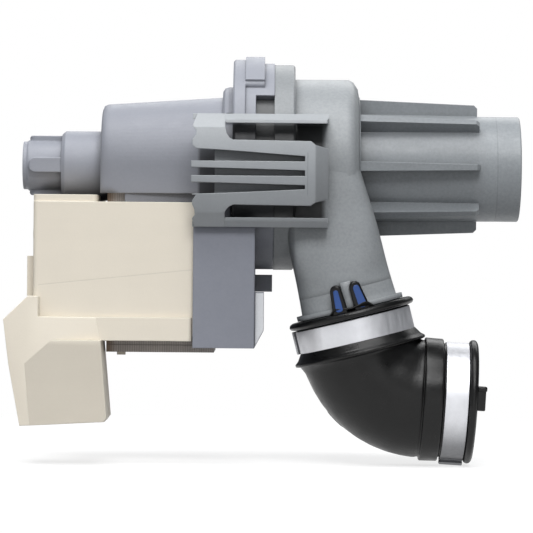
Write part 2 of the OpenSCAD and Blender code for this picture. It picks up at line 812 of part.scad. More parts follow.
module rotor_can() {
  pocket_r = mount_r + seat_gap;
  color(motor_grey) {
    turned() polygon([
      [0, stub_left_x], [stub_r - 0.6, stub_left_x], [stub_r - 0.6, stub_left_x + 1.6],
      [stub_r, stub_left_x + 2.4], [stub_r, tail_left_x], [can_r - 1.4, tail_left_x],
      [can_r, tail_left_x + 1.6], [can_r, web_right_x + eps], [can_flange_r, web_right_x + eps],
      [can_flange_r, can_flange_right_x], [can_inner_r, can_flange_right_x],
      [can_inner_r, tail_left_x + 2.4], [pocket_r, tail_left_x + 2.4],
      [pocket_r, stub_left_x + stub_floor], [0, stub_left_x + stub_floor]
    ]);
    for (i = [0:3]) rotate([i * 90, 0, 0]) intersection() {
      along_y(-3.2, 3.2) polygon([
        [stub_left_x + 2.6, stub_r - 1], [stub_left_x + 2.6, stub_r + stub_rib - 0.8],
        [stub_left_x + 3.4, stub_r + stub_rib], [tail_left_x + 0.4, stub_r + stub_rib],
        [tail_left_x + 0.4, stub_r - 1]
      ]);
      along_z(0, stub_r * 2) {
        translate([stub_left_x + 5.8, 0]) circle(r = 3.2, $fn = hull_fn);
        translate([stub_left_x + 5.8, -3.2]) square([stub_length, 6.4]);
      }
    }
  }
}

module bearing_plate() {
  socket_r = mount_r + seat_gap;
  color(motor_grey) {
    turned() polygon([
      [socket_r, plate_left_x], [plate_r, plate_left_x], [plate_r, spigot_left_x - 0.3],
      [spigot_inner_r - 2, spigot_left_x - 0.3], [hat_r, plate_right_x],
      [hat_r, hat_right_x - 1.5], [hat_r - 1.5, hat_right_x],
      [shaft_r + 1.2, hat_right_x], [shaft_r + 1.2, hat_right_x - hat_wall],
      [hat_r - hat_wall, hat_right_x - hat_wall], [hat_r - hat_wall, plate_right_x],
      [mount_r + 2, plate_right_x], [mount_r + 2, hat_right_x - hat_wall],
      [socket_r, hat_right_x - hat_wall]
    ]);
  }
}

// A bearing bush with its running bore
module bush(x) {
  color(ceramic) ring(x, x + bush_length, bush_r, shaft_r + running_fit);
}

module front_bearing() { bush(front_bush_x); }

module rear_bearing() { bush(rear_bush_x); }

// The soft ring that holds a bush in its socket
module bush_mount(x, length) {
  color(black_rubber) ring(x, x + length, mount_r, bush_r);
}

module front_bearing_mount() { bush_mount(front_bush_x, bush_length); }

module rear_bearing_mount() { bush_mount(rear_bush_x, bush_length); }

module can_seal() {
  color(black_rubber) turned()
    translate([can_flange_r + 0.2 + seal_d / 2, can_flange_right_x - can_flange_thickness / 2])
      circle(d = can_flange_thickness - 0.1, $fn = hull_fn);
}

module volute_seal() {
  section_r = (seal_seat_depth + seat_gap) / 2;
  color(black_rubber) turned()
    translate([spigot_outer_r - seal_seat_depth + section_r, (spigot_left_x + seal_shoulder_x) / 2])
      circle(r = section_r, $fn = hull_fn);
}

module core_outline() {
  slot_half = 5;
  difference() {
    union() {
      intersection() {
        circle(r = core_half, $fn = round_fn);
        translate([-core_half, 0]) square([core_width, core_half]);
      }
      for (side = [-1, 1])
        translate([side * (core_half - leg_width / 2) - leg_width / 2, -core_drop])
          square([leg_width, core_drop]);
      translate([-core_half, -core_drop]) square([core_width, yoke_height]);
    }
    circle(r = can_r + 0.3, $fn = round_fn);
    translate([-slot_half, 0]) square([2 * slot_half, core_half + 1]);
  }
}

module lamination_core() {
  color([0.53, 0.51, 0.50]) difference() {
    along_x(stack_left_x, stack_right_x) core_outline();
    for (spot = rivet_spots) translate([0, spot[0], spot[1]])
      rod(stack_left_x - 1, stack_right_x + 1, rivet_r);
  }
}

module core_rivets() {
  color(steel) for (spot = rivet_spots) translate([0, spot[0], spot[1]]) {
    rod(stack_left_x - rivet_head, stack_right_x + rivet_head, rivet_r);
    rod(stack_left_x - rivet_head, stack_left_x, rivet_r + 1);
    rod(stack_right_x, stack_right_x + rivet_head, rivet_r + 1);
  }
}

// A box round one core leg, grown outward by different amounts in X and Y
module leg_box(side, grow_x, grow_y, z0, z1, r) {
  near = side * leg_inner;
  far = side * core_half;
  along_z(z0, z1) round_rect(
    [stack_left_x - grow_x, min(near, far) - grow_y],
    [stack_right_x + grow_x, max(near, far) + grow_y], r);
}

module bobbin(side) {
  rim_x = former_wall_out + winding_end;
  rim_y = former_wall_out + winding_depth + 0.6;
  color([0.93, 0.92, 0.88]) difference() {
    union() {
      leg_box(side, former_wall_out, former_wall_out, bobbin_bottom_z, bobbin_top_z, 0.8);
      leg_box(side, rim_x, rim_y, bobbin_top_z - bobbin_wall, bobbin_top_z, 3);
      leg_box(side, rim_x, rim_y, bobbin_bottom_z, bobbin_bottom_z + bobbin_wall, 3);
    }
    leg_box(side, former_gap, former_gap, bobbin_bottom_z - 1, bobbin_top_z + 1, 0.1);
  }
}

module front_bobbin() { bobbin(-1); }

module rear_bobbin() { bobbin(1); }

module winding(side) {
  grow_x = former_wall_out + winding_end - 0.3;
  grow_y = former_wall_out + winding_depth;
  color(copper) difference() {
    leg_box(side, grow_x, grow_y, bobbin_bottom_z + bobbin_wall, bobbin_top_z - bobbin_wall, 3);
    leg_box(side, former_wall_out, former_wall_out, bobbin_bottom_z, bobbin_top_z, 0.8);
  }
}

module front_winding() { winding(-1); }

module rear_winding() { winding(1); }

// Passages for the two core legs through a top wall
module leg_passages(z0, z1) {
  for (side = [-1, 1])
    leg_box(side, leg_pass, leg_pass, z0, z1, 0.1);
}

// Opening in a floor for the lower yoke of the core
module yoke_window(z0, z1) {
  room = rivet_head + leg_pass;
  block([stack_left_x - room, -core_half - leg_pass, z0],
        [stack_right_x + room, core_half + leg_pass, z1]);
}

module coil_cover() {
  half = cover_half_depth;
  color(cream) difference() {
    union() {
      along_z(-cover_bottom_drop + tray_floor + seat_gap, -cover_top_drop)
        round_rect([cover_left_x, -half], [cover_right_x, half], cover_round);
      along_z(-cover_top_drop - eps, -cover_raised_drop)
        round_rect([cover_left_x, -half + 0.8], [barrel_left_x - 0.6, half - 0.8], cover_round);
      translate([cover_left_x - 1.2, -half / 2, -30]) rod(0, 2, 2.6);
    }
    along_z(-cover_bottom_drop - 1, -cover_top_drop - cover_wall)
      translate([cover_left_x + cover_wall, -half + cover_wall])
        square([cover_length + 10, 2 * (half - cover_wall)]);
    leg_passages(-cover_top_drop - 2 * cover_wall, -cover_top_drop + 1);
    rod(cover_left_x - 1, barrel_left_x + 1, can_r + 0.4);
  }
}

// The connector housing's outline behind its sloped edges
module socket_back_outline() {
  x = cover_left_x;
  right = socket_right_x;
  polygon([
    [x - 2, band_top_z], [x - 12.4, band_top_z - 10], [x - 10, -cover_bottom_drop - 10.2],
    [x - 5, socket_bottom_z], [right, socket_bottom_z + 1.8], [right + 1.5, socket_bottom_z + 3.9],
    [right - 1.5, -cover_bottom_drop + 0.3], [x + 10, band_top_z]
  ]);
}

// The flat front face between the sloped edges
module socket_front_outline() {
  x = cover_left_x;
  right = socket_right_x;
  polygon([
    [x - 2.9, -cover_bottom_drop - 10.2], [x + 8.6, -cover_bottom_drop + 0.1],
    [right - 1.6, -cover_bottom_drop + 0.1], [right + 1.2, socket_bottom_z + 3.9],
    [right, socket_bottom_z + 2.2], [x - 0.6, socket_bottom_z + 0.4]
  ]);
}

module socket_cavity() {
  left = socket_left_x + socket_wall;
  top_right = socket_right_x - 3 - socket_wall;
  bottom_right = socket_right_x - socket_wall;
  along_y(socket_front_y + socket_wall, socket_back_y - socket_wall) polygon([
    [left, socket_roof_z], [top_right, socket_roof_z], [bottom_right, socket_bottom_z - 1],
    [left, socket_bottom_z - 1]
  ]);
}

// Hook behind the core that holds its lower yoke to the tray
module core_hook() {
  x0 = stack_left_x + 2.5;
  x1 = x0 + hook_width;
  y = core_half + leg_pass;
  bottom = -core_drop - 2.5;
  block([x0, y, bottom], [x1, y + 2, -cover_bottom_drop + 1]);
  block([x0, core_half - 2.6, bottom], [x1, y + eps, -core_drop - 0.2]);
}

// The tray under the coil cover, with the socket hanging from its left end
module connector_housing() {
  slope_depth = 7;
  skirt_top_z = -cover_bottom_drop + skirt_height;
  band_right_x = cover_left_x + 2.9;
  outer_y = cover_half_depth + cover_skin;
  inner_y = cover_half_depth + seat_gap;
  color(cream) difference() {
    union() {
      along_z(-cover_bottom_drop, skirt_top_z)
        round_rect([cover_left_x - cover_skin, -outer_y], [shroud_left_x - 0.2, outer_y],
                   cover_round);
      block([cover_left_x - cover_skin, -outer_y, skirt_top_z - eps],
            [band_right_x, socket_back_y, band_top_z]);
      difference() {
        hull() {
          along_y(socket_front_y, socket_front_y + eps) socket_front_outline();
          along_y(socket_front_y + slope_depth, socket_back_y) socket_back_outline();
        }
        block([cover_left_x + 8.6, socket_front_y - 1, -cover_bottom_drop + 0.1],
              [socket_right_x + 5, -outer_y, skirt_top_z + 20]);
      }
      core_hook();
      block([cover_left_x - 3, -cover_half_depth + 8, band_top_z - eps],
            [cover_left_x - seat_gap, -cover_half_depth + 14, band_top_z + 17.2]);
    }
    block([cover_left_x - seat_gap, -inner_y, -cover_bottom_drop + tray_floor],
          [cover_right_x + 1, inner_y, 0]);
    block([band_right_x, socket_front_y - 1, skirt_top_z], [cover_right_x + 1, outer_y + 1, 0]);
    yoke_window(-cover_bottom_drop - 1, -cover_bottom_drop + tray_floor + 1);
    block([stack_right_x, -core_half - leg_pass, -cover_bottom_drop - 1],
          [cover_right_x + 1, core_half + leg_pass, -cover_bottom_drop + tray_floor + 1]);
    socket_cavity();
  }
}

module terminal_blades() {
  pitch = 5;
  blade_width = 6.3;
  blade_thickness = 0.8;
  blade_length = 18;
  middle_x = cover_left_x + 13;
  middle_y = (socket_front_y + socket_back_y) / 2;
  first = middle_x - pitch * (blade_count - 1) / 2;
  color(steel) for (i = [0:blade_count - 1])
    translate([first + i * pitch - blade_thickness / 2, middle_y - blade_width / 2,
               socket_roof_z - blade_length])
      cube([blade_thickness, blade_width, blade_length]);
}

module stator_shroud() {
  half = shroud_half_depth;
  hood_half = cover_half_depth - 2;
  hood_right_x = casing_left_x - 0.3;
  wall = 2;
  foot_room = foot_half + 1;
  wedge_top_z = -motor_flange_r - foot_height;
  color(motor_grey) difference() {
    union() {
      along_z(-shroud_bottom_drop, -shroud_top_drop)
        round_rect([shroud_left_x, -half], [shroud_right_x, half], 0.6);
      along_z(-shroud_top_drop - eps, -cover_top_drop)
        round_rect([cover_right_x + 0.2, -hood_half], [hood_right_x, hood_half], 1);
      along_y(-half + 4, -half + 18) polygon([
        [shroud_right_x - 1, wedge_top_z], [shroud_right_x + 4, wedge_top_z],
        [shroud_right_x + 4, -shroud_bottom_drop + 7.6],
        [shroud_right_x, -shroud_bottom_drop], [shroud_right_x - 1, -shroud_bottom_drop]
      ]);
    }
    yoke_window(-shroud_bottom_drop - 1, -shroud_bottom_drop + wall + 1);
    block([shroud_left_x - 1, -half + wall, -shroud_bottom_drop + wall],
          [shroud_right_x - wall, half - wall, -shroud_top_drop - wall]);
    block([cover_right_x - 1, -hood_half + wall, -shroud_top_drop - 2 * wall],
          [hood_right_x + 1, hood_half - wall, -cover_top_drop - wall]);
    leg_passages(-shroud_top_drop - 2 * wall, -cover_top_drop + 1);
    block([shroud_left_x - 1, -cover_half_depth - 0.2, -shroud_top_drop - 2 * wall],
          [cover_right_x + 0.2, cover_half_depth + 0.2, 0]);
    rod(hood_right_x, shroud_right_x + 5, motor_flange_r + 0.3);
    block([casing_left_x + 1, -foot_room, wedge_top_z - 0.4],
          [shroud_right_x + 1, foot_room, -motor_flange_r + 2]);
  }
}

// A tube about the local Z axis
module tube(z0, z1, r_out, r_in) {
  translate([0, 0, z0]) rotate_extrude($fn = round_fn)
    translate([r_in, 0]) square([r_out - r_in, z1 - z0]);
}

// The elbow's wall: two straight cuffs and the bend between them
module elbow_wall_path() {
  bend_overlap = 0.1;
  duct_frame() tube(bend_reach - bend_overlap, inlet_end, cuff_r, bore_r);
  translate(bend_centre) rotate([90, 0, 0]) rotate([0, 0, 180 + duct_tilt])
    rotate_extrude(angle = bend_angle, $fn = round_fn) translate([bend_r, 0]) difference() {
      circle(r = bend_outer_r, $fn = round_fn);
      circle(r = bend_bore_r, $fn = round_fn);
    }
  outlet_frame() tube(bend_reach - bend_overlap, outlet_end, cuff_r, bore_r);
}

// One rubber finger beside the duct's key rib
module key_finger(side) {
  z0 = inlet_end - 2;
  x0 = side * (key_width / 2 + 0.5);
  duct_frame() intersection() {
    along_y(-cuff_r - 1.6, -duct_r + 4) polygon([
      [x0, z0], [x0, z0 + 8.6], [x0 + side * 1.2, z0 + 12], [x0 + side * 3, z0 + 12.6],
      [x0 + side * 4.6, z0 + 10], [x0 + side * 6.4, z0]
    ]);
    difference() {
      band(z0, z0 + 14, cuff_r + 1.4);
      band(z0 - 1, z0 + 15, collar_d / 2 + 0.2);
    }
  }
}

// A ring on the cuff with its profile of [radius, z] points closed inside the rubber
module cuff_ring(points) {
  inner = cuff_r - 0.8;
  z0 = points[0][1];
  z1 = points[len(points) - 1][1];
  rotate_extrude($fn = round_fn) polygon(concat([[inner, z0]], points, [[inner, z1]]));
}

module discharge_elbow() {
  tab_width = 4;
  tab_length = 10.8;
  inlet_lip = lip_d / 2;
  outlet_lip = lip_d / 2 - 0.8;
  fin_start = 218;
  fin_angle = 14;
  color(black_rubber) {
    elbow_wall_path();
    duct_frame() {
      cuff_ring([
        [inlet_lip - 1.6, inlet_end - lip_length], [inlet_lip, inlet_end - lip_length + 1.2],
        [inlet_lip, inlet_end - 1.6], [cuff_r + 1, inlet_end - 0.4]
      ]);
      cuff_ring([
        [bead_d / 2 - 1, bend_reach - bead_drop], [bead_d / 2, bend_reach - bead_drop + 0.5],
        [bead_d / 2 - 0.2, bend_reach - bead_drop + 1.3], [cuff_r + 0.7, bend_reach + bead_top]
      ]);
    }
    outlet_frame() {
      cuff_ring([[outlet_ring_r, bend_reach + ring_setback], [outlet_ring_r, outlet_ring_end]]);
      cuff_ring([
        [outlet_lip, outlet_end - lip_length], [outlet_lip, outlet_end - 1],
        [outlet_lip - 1, outlet_end - 0.2]
      ]);
      translate([-tab_length / 2, -bore_r - elbow_wall + 0.2, outlet_end - 0.6])
        cube([tab_length, elbow_wall - 0.4, tab_width + 0.6]);
    }
    key_finger(-1);
    key_finger(1);
    translate(bend_centre) rotate([90, 0, 0]) rotate([0, 0, fin_start])
      rotate_extrude(angle = fin_angle, $fn = round_fn)
        translate([bend_r + cuff_r - 1, -1.2]) square([2.4, 2.4]);
  }
}

// A clamp band with a crimped ear on one side
module clamp_band_ring(at, ear_angle) {
  inner = cuff_r + 0.05;
  outer = inner + clamp_band;
  ear_length = 7;
  ear_wall = 1;
  translate([0, 0, at - clamp_width / 2]) rotate([0, 0, ear_angle])
    linear_extrude(clamp_width) difference() {
      union() {
        circle(r = outer, $fn = round_fn);
        translate([-ear_length / 2, -outer - ear_height]) square([ear_length, ear_height + 2]);
      }
      circle(r = inner, $fn = round_fn);
      translate([-ear_length / 2 + ear_wall, -outer - ear_height + ear_wall])
        square([ear_length - 2 * ear_wall, ear_height + 4]);
    }
}

module inlet_clamp() {
  color(steel) duct_frame() clamp_band_ring(inlet_clamp_at, -108);
}

module outlet_clamp() {
  color(steel) outlet_frame() clamp_band_ring(outlet_clamp_at, 90);
}

module rotor_shaft() {
  color(steel) rod(shaft_left_x, shaft_right_x, shaft_r);
}

module rotor_magnet() {
  color([0.25, 0.25, 0.27]) ring(magnet_left_x, magnet_right_x, magnet_r, shaft_r);
}

module magnet_end_caps() {
  color([0.9, 0.9, 0.88]) {
    ring(magnet_left_x - cap_thickness, magnet_left_x, magnet_r, shaft_r);
    ring(magnet_right_x, magnet_right_x + cap_thickness, magnet_r, shaft_r);
  }
}

module thrust_washer() {
  x = rear_bush_x + bush_length + moving_gap;
  color(ceramic) ring(x, x + 2, bush_r - 0.4, shaft_r);
}

// A sector of a ring round the rotor axis, centred on an angle
module dog_sector(x0, x1, middle, span, r_out, r_in) {
  along_x(x0, x1) difference() {
    intersection() {
      circle(r = r_out, $fn = round_fn);
      sector(middle - span / 2, middle + span / 2, r_out * 1.4);
    }
    circle(r = r_in, $fn = round_fn);
  }
}

module drive_dog() {
  color([0.9, 0.9, 0.88]) {
    ring(dog_left_x, dog_right_x, dog_inner_r, shaft_r);
    dog_sector(dog_left_x, dog_right_x, 90, dog_span, dog_r, shaft_r);
  }
}

// One vane: a curved wall between the discs, leaning back against the spin
module vane() {
  arc_r = impeller_r * 0.62;
  shift = impeller_r * 0.46;
  along_x(vane_left_x - eps, vane_right_x) intersection() {
    difference() {
      circle(r = impeller_r - 0.2, $fn = round_fn);
      circle(r = hub_r + 2, $fn = round_fn);
    }
    translate([0, shift]) difference() {
      circle(r = arc_r, $fn = round_fn);
      circle(r = arc_r - vane_thickness, $fn = round_fn);
    }
    translate([0, -impeller_r]) square([impeller_r, 2 * impeller_r]);
  }
}

module impeller() {
  color([0.86, 0.86, 0.84]) difference() {
    union() {
      rod(back_disc_x, vane_left_x, impeller_r);
      turned() polygon([
        [0, back_disc_x], [hub_r + 2, vane_left_x - eps], [hub_r, cavity_right_x],
        [hub_r - 3, hub_right_x - 1], [hub_r - 6, hub_right_x], [0, hub_right_x]
      ]);
      for (i = [0:vane_count - 1]) rotate([i * 360 / vane_count, 0, 0]) vane();
    }
    difference() {
      rod(back_disc_x - 1, cavity_right_x, cavity_r);
      dog_sector(back_disc_x - 2, cavity_right_x + 1, 90 + dog_span + rest_play, dog_span,
                 cavity_r + 1, dog_inner_r + moving_gap);
    }
    rod(back_disc_x - 1, shaft_right_x + 0.5, shaft_r + running_fit);
  }
}

module impeller_shroud() {
  color([0.86, 0.86, 0.84]) turned() polygon([
    [eye_inner_r, vane_right_x], [impeller_r, vane_right_x],
    [impeller_r, front_disc_right_x], [eye_r + 0.6, front_disc_right_x + 1.4],
    [eye_r, front_disc_right_x + 2], [eye_r, ring_end_x], [eye_inner_r, ring_end_x]
  ]);
}

volute_housing();
suction_pipe();
wear_ring();
latch_bracket();
motor_casing();
rotor_can();
bearing_plate();
front_bearing();
rear_bearing();
front_bearing_mount();
rear_bearing_mount();
can_seal();
volute_seal();
lamination_core();
core_rivets();
front_bobbin();
rear_bobbin();
front_winding();
rear_winding();
coil_cover();
connector_housing();
terminal_blades();
stator_shroud();
discharge_elbow();
inlet_clamp();
outlet_clamp();
rotor_shaft();
rotor_magnet();
magnet_end_caps();
thrust_washer();
drive_dog();
impeller();
impeller_shroud();
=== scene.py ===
import json
import math

import bmesh
import bpy
from mathutils import Matrix, Vector


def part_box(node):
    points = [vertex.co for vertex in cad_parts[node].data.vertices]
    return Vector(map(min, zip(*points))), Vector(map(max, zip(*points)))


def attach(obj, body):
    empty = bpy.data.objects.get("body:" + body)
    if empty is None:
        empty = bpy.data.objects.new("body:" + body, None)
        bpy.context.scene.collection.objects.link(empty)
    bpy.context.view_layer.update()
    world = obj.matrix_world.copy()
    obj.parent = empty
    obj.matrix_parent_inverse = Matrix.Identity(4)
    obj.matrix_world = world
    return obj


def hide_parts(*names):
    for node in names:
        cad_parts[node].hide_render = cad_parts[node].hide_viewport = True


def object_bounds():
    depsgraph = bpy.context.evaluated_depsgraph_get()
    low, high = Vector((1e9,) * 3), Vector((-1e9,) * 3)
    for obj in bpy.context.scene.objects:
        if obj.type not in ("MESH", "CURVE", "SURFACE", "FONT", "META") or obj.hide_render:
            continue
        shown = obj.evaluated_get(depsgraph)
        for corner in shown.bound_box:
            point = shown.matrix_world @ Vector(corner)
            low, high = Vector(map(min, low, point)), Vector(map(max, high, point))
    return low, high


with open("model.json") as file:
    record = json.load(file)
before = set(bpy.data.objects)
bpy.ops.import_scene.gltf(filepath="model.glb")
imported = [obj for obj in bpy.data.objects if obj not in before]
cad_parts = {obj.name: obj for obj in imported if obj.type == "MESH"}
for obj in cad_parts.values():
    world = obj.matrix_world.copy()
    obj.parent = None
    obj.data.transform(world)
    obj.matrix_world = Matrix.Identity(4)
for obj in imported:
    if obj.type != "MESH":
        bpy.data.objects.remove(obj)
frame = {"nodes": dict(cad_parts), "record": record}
cad_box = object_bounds()
scene = bpy.context.scene
nodes = frame["nodes"]

# Materials and lamps are in metres, the points of the pieces in millimetres
MM = 0.001

# The camera at the photograph's angle: far off, square to the side, rolled by half a degree
ROLL = 0.00873
HALF_VIEW = 0.11726
DISTANCE = 1.408
LOOK = Vector((-0.1102, 0.0, -0.04356))

camera_data = bpy.data.cameras.new("photo_camera")
camera_data.sensor_fit = "HORIZONTAL"
camera_data.sensor_width = 36.0
camera_data.angle = 2 * math.atan(HALF_VIEW / DISTANCE)
camera_data.clip_start = 0.05
camera_data.clip_end = 20.0
camera = bpy.data.objects.new("photo_camera", camera_data)
scene.collection.objects.link(camera)
right = Vector((math.cos(ROLL), 0, math.sin(ROLL)))
up = Vector((-math.sin(ROLL), 0, math.cos(ROLL)))
back = Vector((0, -1, 0))
pose = Matrix((right, up, back)).transposed().to_4x4()
pose.translation = LOOK + back * DISTANCE
camera.matrix_world = pose
scene.camera = camera
scene.view_settings.view_transform = "Standard"


class Shader:
    """A small builder for one node material."""

    def __init__(self, name):
        self.mat = bpy.data.materials.new(name)
        self.mat.use_nodes = True
        self.tree = self.mat.node_tree
        self.tree.nodes.clear()
        self.out = self.add("ShaderNodeOutputMaterial")
        self.bsdf = self.add("ShaderNodeBsdfPrincipled")
        self.link(self.bsdf.outputs[0], self.out.inputs["Surface"])
        self.coord = self.add("ShaderNodeTexCoord").outputs["Object"]

    def add(self, kind, **props):
        node = self.tree.nodes.new(kind)
        for key, value in props.items():
            setattr(node, key, value)
        return node

    def link(self, a, b):
        self.tree.links.new(a, b)

    def feed(self, socket, value):
        """A number, a colour or another node's output into a socket."""
        if isinstance(value, (int, float)):
            socket.default_value = value
        elif isinstance(value, tuple):
            socket.default_value = (*value, 1.0)
        else:
            self.link(value, socket)

    def scaled(self, scale):
        mapping = self.add("ShaderNodeMapping")
        mapping.inputs["Scale"].default_value = scale
        self.link(self.coord, mapping.inputs["Vector"])
        return mapping.outputs["Vector"]

    def noise(self, scale, detail=3.0, rough=0.55, vector=None):
        node = self.add("ShaderNodeTexNoise")
        node.inputs["Scale"].default_value = scale
        node.inputs["Detail"].default_value = detail
        node.inputs["Roughness"].default_value = rough
        self.link(vector or self.coord, node.inputs["Vector"])
        return node.outputs["Fac"]

    def ramp(self, value, low_colour, high_colour):
        """One colour where value is under 0.3, the other where it is over 0.7."""
        node = self.add("ShaderNodeValToRGB")
        stops = ((0.3, low_colour), (0.7, high_colour))
        for element, (at, colour) in zip(node.color_ramp.elements, stops):
            element.position = at
            element.color = (*colour, 1.0)
        self.link(value, node.inputs["Fac"])
        return node.outputs["Color"]

    def map(self, value, low, high, to_low=0.0, to_high=1.0):
        node = self.add("ShaderNodeMapRange")
        node.inputs["From Min"].default_value = low
        node.inputs["From Max"].default_value = high
        node.inputs["To Min"].default_value = to_low
        node.inputs["To Max"].default_value = to_high
        self.link(value, node.inputs["Value"])
        return node.outputs["Result"]

    def mix(self, fac, a, b):
        node = self.add("ShaderNodeMix", data_type="RGBA")
        self.link(fac, node.inputs["Factor"])
        self.feed(node.inputs["A"], a)
        self.feed(node.inputs["B"], b)
        return node.outputs["Result"]

    def maths(self, operation, a, b=0.0, clamp=False):
        node = self.add("ShaderNodeMath", operation=operation, use_clamp=clamp)
        self.feed(node.inputs[0], a)
        self.feed(node.inputs[1], b)
        return node.outputs[0]

    def times(self, first, *others):
        """The product of two values or more."""
        for other in others:
            first = self.maths("MULTIPLY", first, other)
        return first

    def axes(self):
        """The three coordinates of the point."""
        node = self.add("ShaderNodeSeparateXYZ")
        self.link(self.coord, node.inputs[0])
        return node.outputs

    def within(self, value, centre, inner, outer, level=1.0):
        """level up to the inner distance from the centre, falling to 0 at the outer one."""
        gap = self.maths("ABSOLUTE", self.maths("SUBTRACT", value, centre))
        return self.map(gap, inner, outer, level, 0.0)

    def near(self, value, centre, half):
        """1 where value is at the centre, falling to 0 at half on both sides."""
        return self.within(value, centre, half * 0.4, half)

    def bevel(self, radius):
        """The normal with edges rounded by a radius."""
        node = self.add("ShaderNodeBevel", samples=6)
        node.inputs["Radius"].default_value = radius
        return node.outputs["Normal"]

    def wide_bevel(self, radius):
        """The same with a wide radius that changes over the surface."""
        node = self.add("ShaderNodeBevel", samples=16)
        self.link(radius, node.inputs["Radius"])
        return node.outputs["Normal"]

    def edges(self, rounded):
        """1 on a sharp edge and 0 on a flat face."""
        geometry = self.add("ShaderNodeNewGeometry")
        dot = self.add("ShaderNodeVectorMath", operation="DOT_PRODUCT")
        self.link(rounded, dot.inputs[0])
        self.link(geometry.outputs["Normal"], dot.inputs[1])
        return self.map(dot.outputs["Value"], 0.98, 0.75)

    def hollow(self, distance):
        """0 deep in a recess or against a neighbour, rising to 1 in the open."""
        node = self.add("ShaderNodeAmbientOcclusion", samples=6)
        node.inputs["Distance"].default_value = distance
        return node.outputs["AO"]

    def lean(self, normal, mask, direction):
        """The normal turned towards a direction where the mask is 1."""
        push = self.add("ShaderNodeVectorMath", operation="SCALE")
        push.inputs[0].default_value = direction
        self.link(mask, push.inputs["Scale"])
        total = self.add("ShaderNodeVectorMath", operation="ADD")
        self.link(normal, total.inputs[0])
        self.link(push.outputs["Vector"], total.inputs[1])
        unit = self.add("ShaderNodeVectorMath", operation="NORMALIZE")
        self.link(total.outputs["Vector"], unit.inputs[0])
        return unit.outputs["Vector"]

    def front(self, start=-0.9, full=-0.98):
        """1 on faces that look to the front, 0 elsewhere."""
        parts = self.add("ShaderNodeSeparateXYZ")
        self.link(self.add("ShaderNodeNewGeometry").outputs["Normal"], parts.inputs[0])
        return self.map(parts.outputs[1], start, full)

    def bump(self, height, strength, distance, normal=None):
        node = self.add("ShaderNodeBump")
        node.inputs["Strength"].default_value = strength
        node.inputs["Distance"].default_value = distance
        self.link(height, node.inputs["Height"])
        if normal is not None:
            self.link(normal, node.inputs["Normal"])
        return node.outputs["Normal"]

    def finish(self, tone, rough, normal):
        """The finished material from the outputs for its colour, roughness and normal."""
        self.link(tone, self.bsdf.inputs["Base Color"])
        self.link(rough, self.bsdf.inputs["Roughness"])
        self.link(normal, self.bsdf.inputs["Normal"])
        return self.mat


def linear(r, g, b):
    """Colour of the finished surface as 0-255 display values, as linear light."""
    out = []
    for v in (r, g, b):
        c = v / 255.0
        out.append(c / 12.92 if c <= 0.04045 else ((c + 0.055) / 1.055) ** 2.4)
    return tuple(out)


def shade(colour, k):
    return tuple(min(1.0, c * k) for c in colour)


# How deep the grain of plastic and steel edges, the ripples of rubber and the scratches go
GRAIN_DEPTH = 0.00012
RIPPLE_DEPTH = 0.0002
SCRATCH_DEPTH = 0.00006

# How far from a neighbour plastic is drawn darker as painted shade, and how far metal is drawn
# darker as painted shade
RECESS_SHADE_REACH = 0.014
METAL_SHADE_REACH = 0.03

# Radius of the edges of mouldings unless they say otherwise
PLASTIC_EDGE = 0.0005


def plastic(name, colour, rough=0.5, grain=0.25, grain_size=1400.0, mottle=0.05, edge=0.5,
            round_edge=PLASTIC_EDGE, flow=0.0, speck=0.15, shadow=0.8, groove=None, facet=None,
            painted_shade=None, soften=None):
    """Moulded plastic: spark-eroded grain, faint cloudy colour, painted shade in corners, soft
    edges drawn lighter as painted highlights.

    groove gives lines pressed into the surface and drawn darker as painted shade, facet turns its
    normal, a further hook darkens it with painted shade, and soften gives the radius of its edges
    from place to place.
    """
    s = Shader(name)
    rounded = s.bevel(round_edge)
    clouds = s.noise(28.0, 4.0, 0.6)
    tone = s.ramp(clouds, shade(colour, 1 - mottle), shade(colour, 1 + mottle))
    specks = s.map(s.noise(850.0, 2.0, 0.6), 0.35, 0.7, 0.0, speck)
    tone = s.mix(specks, tone, shade(colour, 0.75))
    if flow:
        streaks = s.noise(60.0, 3.0, 0.5, s.scaled((0.25, 1.0, 3.0)))
        tone = s.mix(s.map(streaks, 0.4, 0.75, 0.0, flow), tone, shade(colour, 1.12))
    # Painted highlight: the edges are drawn lighter than the faces beside them.
    tone = s.mix(s.times(s.edges(rounded), edge), tone, shade(colour, 1.4))
    # Painted shade: recesses and places close to a neighbour are drawn darker.
    dust_and_shade = s.map(s.hollow(RECESS_SHADE_REACH), 0.15, 0.7, shadow, 0.0)
    tone = s.mix(dust_and_shade, tone, shade(colour, 0.12))
    # Painted shade from the hook, on places that lie in shade.
    if painted_shade:
        tone = s.mix(painted_shade(s), tone, shade(colour, 0.04))
    fine = s.noise(grain_size, 2.0, 0.6)
    wave = s.noise(70.0, 2.0, 0.5)
    height = s.maths("ADD", fine, s.times(wave, 1.5))
    if groove:
        line, depth = groove(s)
        # The line is pressed in by the bump below and drawn darker as painted shade.
        tone = s.mix(s.times(line, depth), tone, shade(colour, 0.5))
        height = s.maths("SUBTRACT", height, s.times(line, 4.0 * depth))
    if soften:
        rounded = s.wide_bevel(soften(s))
    if facet:
        for mask, direction in facet(s):
            rounded = s.lean(rounded, mask, direction)
    s.bsdf.inputs["Specular IOR Level"].default_value = 0.45
    return s.finish(tone, s.map(s.noise(240.0), 0.3, 0.7, rough - 0.05, rough + 0.07),
                    s.bump(height, grain, GRAIN_DEPTH, rounded))


